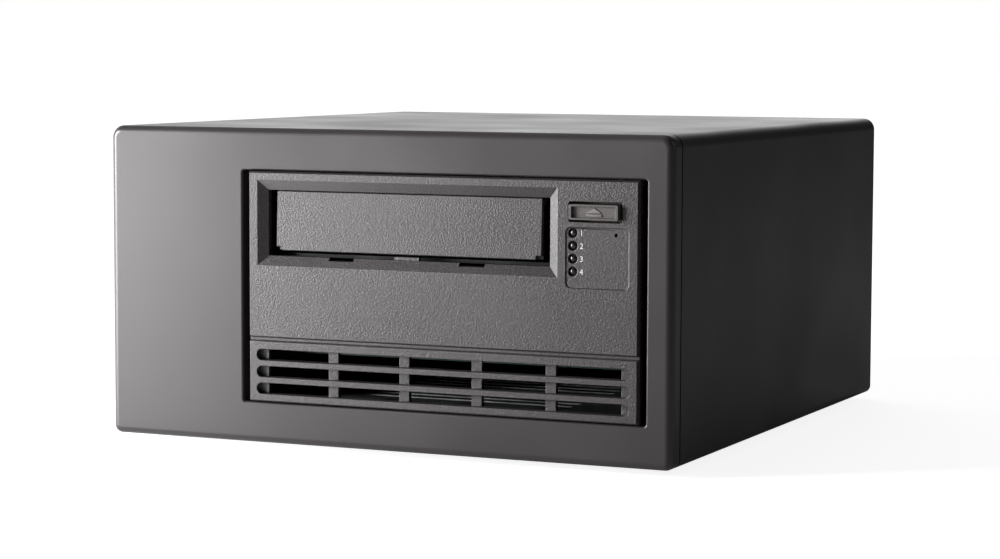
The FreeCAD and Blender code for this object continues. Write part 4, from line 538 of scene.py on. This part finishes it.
number_marks = [(str(k + 1), middle[0] + NUMBER_RIGHT, middle[2] - NUMBER_DOWN)
                for k, middle in enumerate(lamp_middles)]
numbers = printed("lamp_numbers", number_marks, NUMBER_CAP, "unit_bezel", -1, "enclosure")
rocker_low, rocker_high = (np.array(v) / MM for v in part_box("power_rocker"))
rocker_middle = (rocker_low + rocker_high) / 2
on_and_off = [(text, rocker_middle[0] + right, rocker_middle[2] + up)
              for text, (right, up) in SWITCH_MARKS.items()]
marks = printed("switch_marks", on_and_off, SWITCH_CAP, "power_rocker", 1, "power_rocker")
print(len(numbers.data.vertices), "points in the numbers,", len(marks.data.vertices), "in the marks")

# %% [markdown]
# ## Metal shells of the data sockets
#
# A socket of this kind is a bent nickel-plated shell round a black nylon tongue. The node holds
# shell and tongue in one solid, so the tongue's faces are told from the shell's by where they lie,
# and each kind gets its own material.

# %% Socket shells and tongues
TONGUE_HALF = 1.9  # mm, half the height that the tongue's faces lie in
SHELL_END = 6.0  # mm at each end of a socket that are shell alone
MOUTH_DEPTH = 8.0  # mm, the depth of the mouth from the back


def shell_and_tongue(name):
    """Gives the faces inside the mouth of a socket black nylon, and the rest bright plate."""
    mesh = nodes[name].data
    low, high = (np.array(v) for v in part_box(name))
    middle, half_width = (low + high) / 2, (high - low)[0] / 2
    centres = np.empty(len(mesh.polygons) * 3)
    mesh.polygons.foreach_get("center", centres)
    centres = centres.reshape(-1, 3)
    inside = np.abs(centres[:, 2] - middle[2]) < TONGUE_HALF * MM
    inside &= np.abs(centres[:, 0] - middle[0]) < half_width - SHELL_END * MM
    inside &= centres[:, 1] > high[1] - MOUTH_DEPTH * MM
    dress(mesh, bright, black_plastic)
    mesh.polygons.foreach_set("material_index", inside.astype(np.int32))
    return int(inside.sum())


print("tongue faces", [shell_and_tongue("data_socket_%d" % k) for k in (1, 2)])

# %% [markdown]
# ## Camera
#
# A long lens, near 98 mm on a 36 mm wide frame, stands about a metre away, turned 24 degrees to the
# left and tipped 5 degrees down. So the whole front shows, with a thin slice of the top and a
# narrow view of the right side. The camera is placed from the front of the case, in metres.

# %% Camera
LENS_MM, SENSOR_MM = 98.41, 36.0
CAMERA_RIGHT, CAMERA_BEFORE, CAMERA_UP = 0.4311, 0.8601, 0.1472
TURNED_LEFT, TIPPED_DOWN, ROLLED = 24.08, 4.951, 0.212  # degrees
CLIP_NEAR, CLIP_FAR = 0.05, 20.0  # metres

front_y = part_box("front_bezel")[0][1]
camera_data = bpy.data.cameras.new("camera")
camera_data.lens = LENS_MM
camera_data.sensor_width = SENSOR_MM
camera_data.clip_start = CLIP_NEAR
camera_data.clip_end = CLIP_FAR
camera = placed("camera", camera_data)
turn = Matrix.Rotation(math.radians(TURNED_LEFT), 4, "Z")
tip = Matrix.Rotation(math.radians(90 - TIPPED_DOWN), 4, "X")
roll = Matrix.Rotation(math.radians(ROLLED), 4, "Z")
stand = Matrix.Translation((CAMERA_RIGHT, front_y - CAMERA_BEFORE, CAMERA_UP))
camera.matrix_world = stand @ turn @ tip @ roll
bpy.context.scene.camera = camera
print("front at", round(front_y / MM, 1), "mm")

# %% [markdown]
# ## Floor and world
#
# A dark satin object is drawn by what it mirrors, so the set matters more than the lamps. Rays that
# come straight from the camera see white all round, and a floor that is a little below white near
# the case, so that the shadow has room to fade. All other rays see a studio that is white at the
# left and behind the case, dimmer overhead and behind the camera, and hung with black cloth at the
# right. The top, seen at a shallow angle, mirrors the white backdrop and looks pale, and the right
# side mirrors the cloth. A bright pool on the floor, before the left of the front, is there for
# mirror rays alone: it gives the front the sheen that fades from left to right.

# %% What the floor and the world share
DARK_CLOTH = 0.02  # times white


def straight(tree, path):
    """1 for a ray that comes from the camera, straight or through glass, and 0 for all others."""
    return add(tree, "Math", operation="MAXIMUM", i0=path.outputs["Is Camera Ray"],
               i1=path.outputs["Is Transmission Ray"]).outputs["Value"]


# %% Floor
FLOOR_CARD = "#d8d8d8"
FLOOR_REACH = 6.0  # metres from the case to each edge
NEAR, FAR, NEAR_SHARE = 0.28, 0.8, 0.86  # metres, and the share of white that the floor starts at
POOL = 4.8  # times white
POOL_FROM, POOL_TO = -0.18, 0.05  # metres to the right, between which the pool ends
POOL_SLANT = 0.5  # the pool's end lies this much further left for each metre before the front
POOL_EDGE = 0.03  # metres before the front, over which the pool starts


def white_floor():
    """A pale matt floor with a glow that depends on who looks.

    The camera sees a share of white that rises with the distance from the case. Mirror rays see
    the pool: full before the left of the front, dark cloth at the right, at most white further back.
    """
    made, tree = new_material("pale matt studio floor")
    path = add(tree, "LightPath")
    place = add(tree, "TexCoord").outputs["Object"]
    where = add(tree, "SeparateXYZ", Vector=place)
    ahead = add(tree, "Math", operation="SUBTRACT", i0=front_y, i1=where.outputs["Y"])
    ahead = add(tree, "Math", operation="MAXIMUM", i0=ahead.outputs["Value"], i1=0.0).outputs["Value"]
    across = add(tree, "Math", operation="MULTIPLY_ADD", i0=ahead, i1=POOL_SLANT, i2=where.outputs["X"])
    pool = add(tree, "MapRange", Value=across.outputs["Value"], interpolation_type="SMOOTHSTEP",
               From_Min=POOL_FROM, From_Max=POOL_TO, To_Min=POOL, To_Max=DARK_CLOTH)
    start = add(tree, "MapRange", Value=ahead, interpolation_type="SMOOTHSTEP",
                From_Min=0.0, From_Max=POOL_EDGE, To_Min=1 / POOL, To_Max=1.0)
    lit = add(tree, "Math", operation="MULTIPLY", i0=pool.outputs["Result"], i1=start.outputs["Result"])
    mirrored = add(tree, "Math", operation="MULTIPLY",
                   i0=path.outputs["Is Glossy Ray"], i1=lit.outputs["Value"])
    away = add(tree, "VectorMath", operation="LENGTH", i0=place)
    share = add(tree, "MapRange", Value=away.outputs["Value"], interpolation_type="SMOOTHSTEP",
                From_Min=NEAR, From_Max=FAR, To_Min=NEAR_SHARE, To_Max=1.0)
    shown = add(tree, "Math", operation="MULTIPLY", i0=straight(tree, path), i1=share.outputs["Result"])
    seen = add(tree, "Math", operation="MAXIMUM", i0=shown.outputs["Value"], i1=mirrored.outputs["Value"])
    matt = add(tree, "BsdfDiffuse", Color=tint(FLOOR_CARD))
    glow = add(tree, "Emission", Color=(1, 1, 1, 1), Strength=seen.outputs["Value"])
    both = add(tree, "AddShader", i0=matt.outputs["BSDF"], i1=glow.outputs["Emission"])
    add(tree, "OutputMaterial", Surface=both.outputs["Shader"])
    made.cycles.emission_sampling = "NONE"
    return made


corners = [(x * FLOOR_REACH, y * FLOOR_REACH, 0) for x, y in ((-1, -1), (1, -1), (1, 1), (-1, 1))]
floor_mesh = bpy.data.meshes.new("floor")
floor_mesh.from_pydata(corners, [], [(0, 1, 2, 3)])
dress(floor_mesh, white_floor())
floor = placed("floor", floor_mesh)

# %% World
# Each pair of limits is a part of a ray's direction: X to the right, Y to the back and Z up.
WHITE_UP_TO, BLACK_FROM = -0.30, 0.10  # X
LOW, HIGH = 0.15, 0.6  # Z
FORE, BACK = -0.2, 0.5  # Y
BACKDROP, OVERHEAD = 1.6, 0.35  # times white, low and high
BEHIND_CAMERA = 0.12  # share of the light that comes from the camera's side


def studio_world():
    """White to the camera; to other rays a product of three smooth steps, by X, by Z and by Y."""
    world = bpy.data.worlds.new("studio")
    world.use_nodes = True
    sky = world.node_tree
    sky.nodes.clear()
    path = add(sky, "LightPath")
    direction = add(sky, "SeparateXYZ", Vector=add(sky, "TexCoord").outputs["Generated"])
    sideways = add(sky, "MapRange", Value=direction.outputs["X"], interpolation_type="SMOOTHERSTEP",
                   From_Min=WHITE_UP_TO, From_Max=BLACK_FROM, To_Min=1.0, To_Max=DARK_CLOTH)
    upwards = add(sky, "MapRange", Value=direction.outputs["Z"], interpolation_type="SMOOTHERSTEP",
                  From_Min=LOW, From_Max=HIGH, To_Min=BACKDROP, To_Max=OVERHEAD)
    backwards = add(sky, "MapRange", Value=direction.outputs["Y"], interpolation_type="SMOOTHERSTEP",
                    From_Min=FORE, From_Max=BACK, To_Min=BEHIND_CAMERA, To_Max=1.0)
    product = add(sky, "Math", operation="MULTIPLY",
                  i0=upwards.outputs["Result"], i1=backwards.outputs["Result"])
    cloth = add(sky, "Math", operation="MULTIPLY", i0=sideways.outputs["Result"], i1=product.outputs["Value"])
    direct = straight(sky, path)
    other = add(sky, "Math", operation="SUBTRACT", i0=1.0, i1=direct)
    lit = add(sky, "Math", operation="MULTIPLY", i0=other.outputs["Value"], i1=cloth.outputs["Value"])
    strength = add(sky, "Math", operation="ADD", i0=direct, i1=lit.outputs["Value"])
    backdrop = add(sky, "Background", Color=(1, 1, 1, 1), Strength=strength.outputs["Value"])
    add(sky, "OutputWorld", Surface=backdrop.outputs["Background"])
    return world


bpy.context.scene.world = studio_world()

# %% [markdown]
# ## Lamps
#
# One soft window close to the front's left makes the fall of light from left to right, both in the
# matt part of the paint and in its gloss. A large weak lamp overhead lights the floor, so that the
# shadow has something to be dark against, and a weak one at the right keeps that side from black.


# %% Lamps
def softbox(name, spot, aim, size, power):
    """A rectangular area lamp at a spot, turned to aim at a point, sizes in metres and power in watts."""
    data = bpy.data.lights.new(name, "AREA")
    data.shape = "RECTANGLE"
    data.size, data.size_y = size
    data.energy = power
    lamp = placed(name, data)
    lamp.location = spot
    lamp.rotation_mode = "QUATERNION"
    lamp.rotation_quaternion = (Vector(aim) - Vector(spot)).to_track_quat("-Z", "Y")


softbox("key", spot=(-0.70, -0.56, 0.22), aim=(-0.10, -0.12, 0.06), size=(0.36, 0.44), power=17)
softbox("floor fill", spot=(0.2, 0.3, 2.2), aim=(0, 0, 0), size=(2.0, 2.0), power=2.5)
softbox("side fill", spot=(1.5, 0.2, 0.9), aim=(0.11, 0, 0.06), size=(0.8, 0.8), power=1.6)
bpy.context.scene.view_settings.view_transform = "Standard"
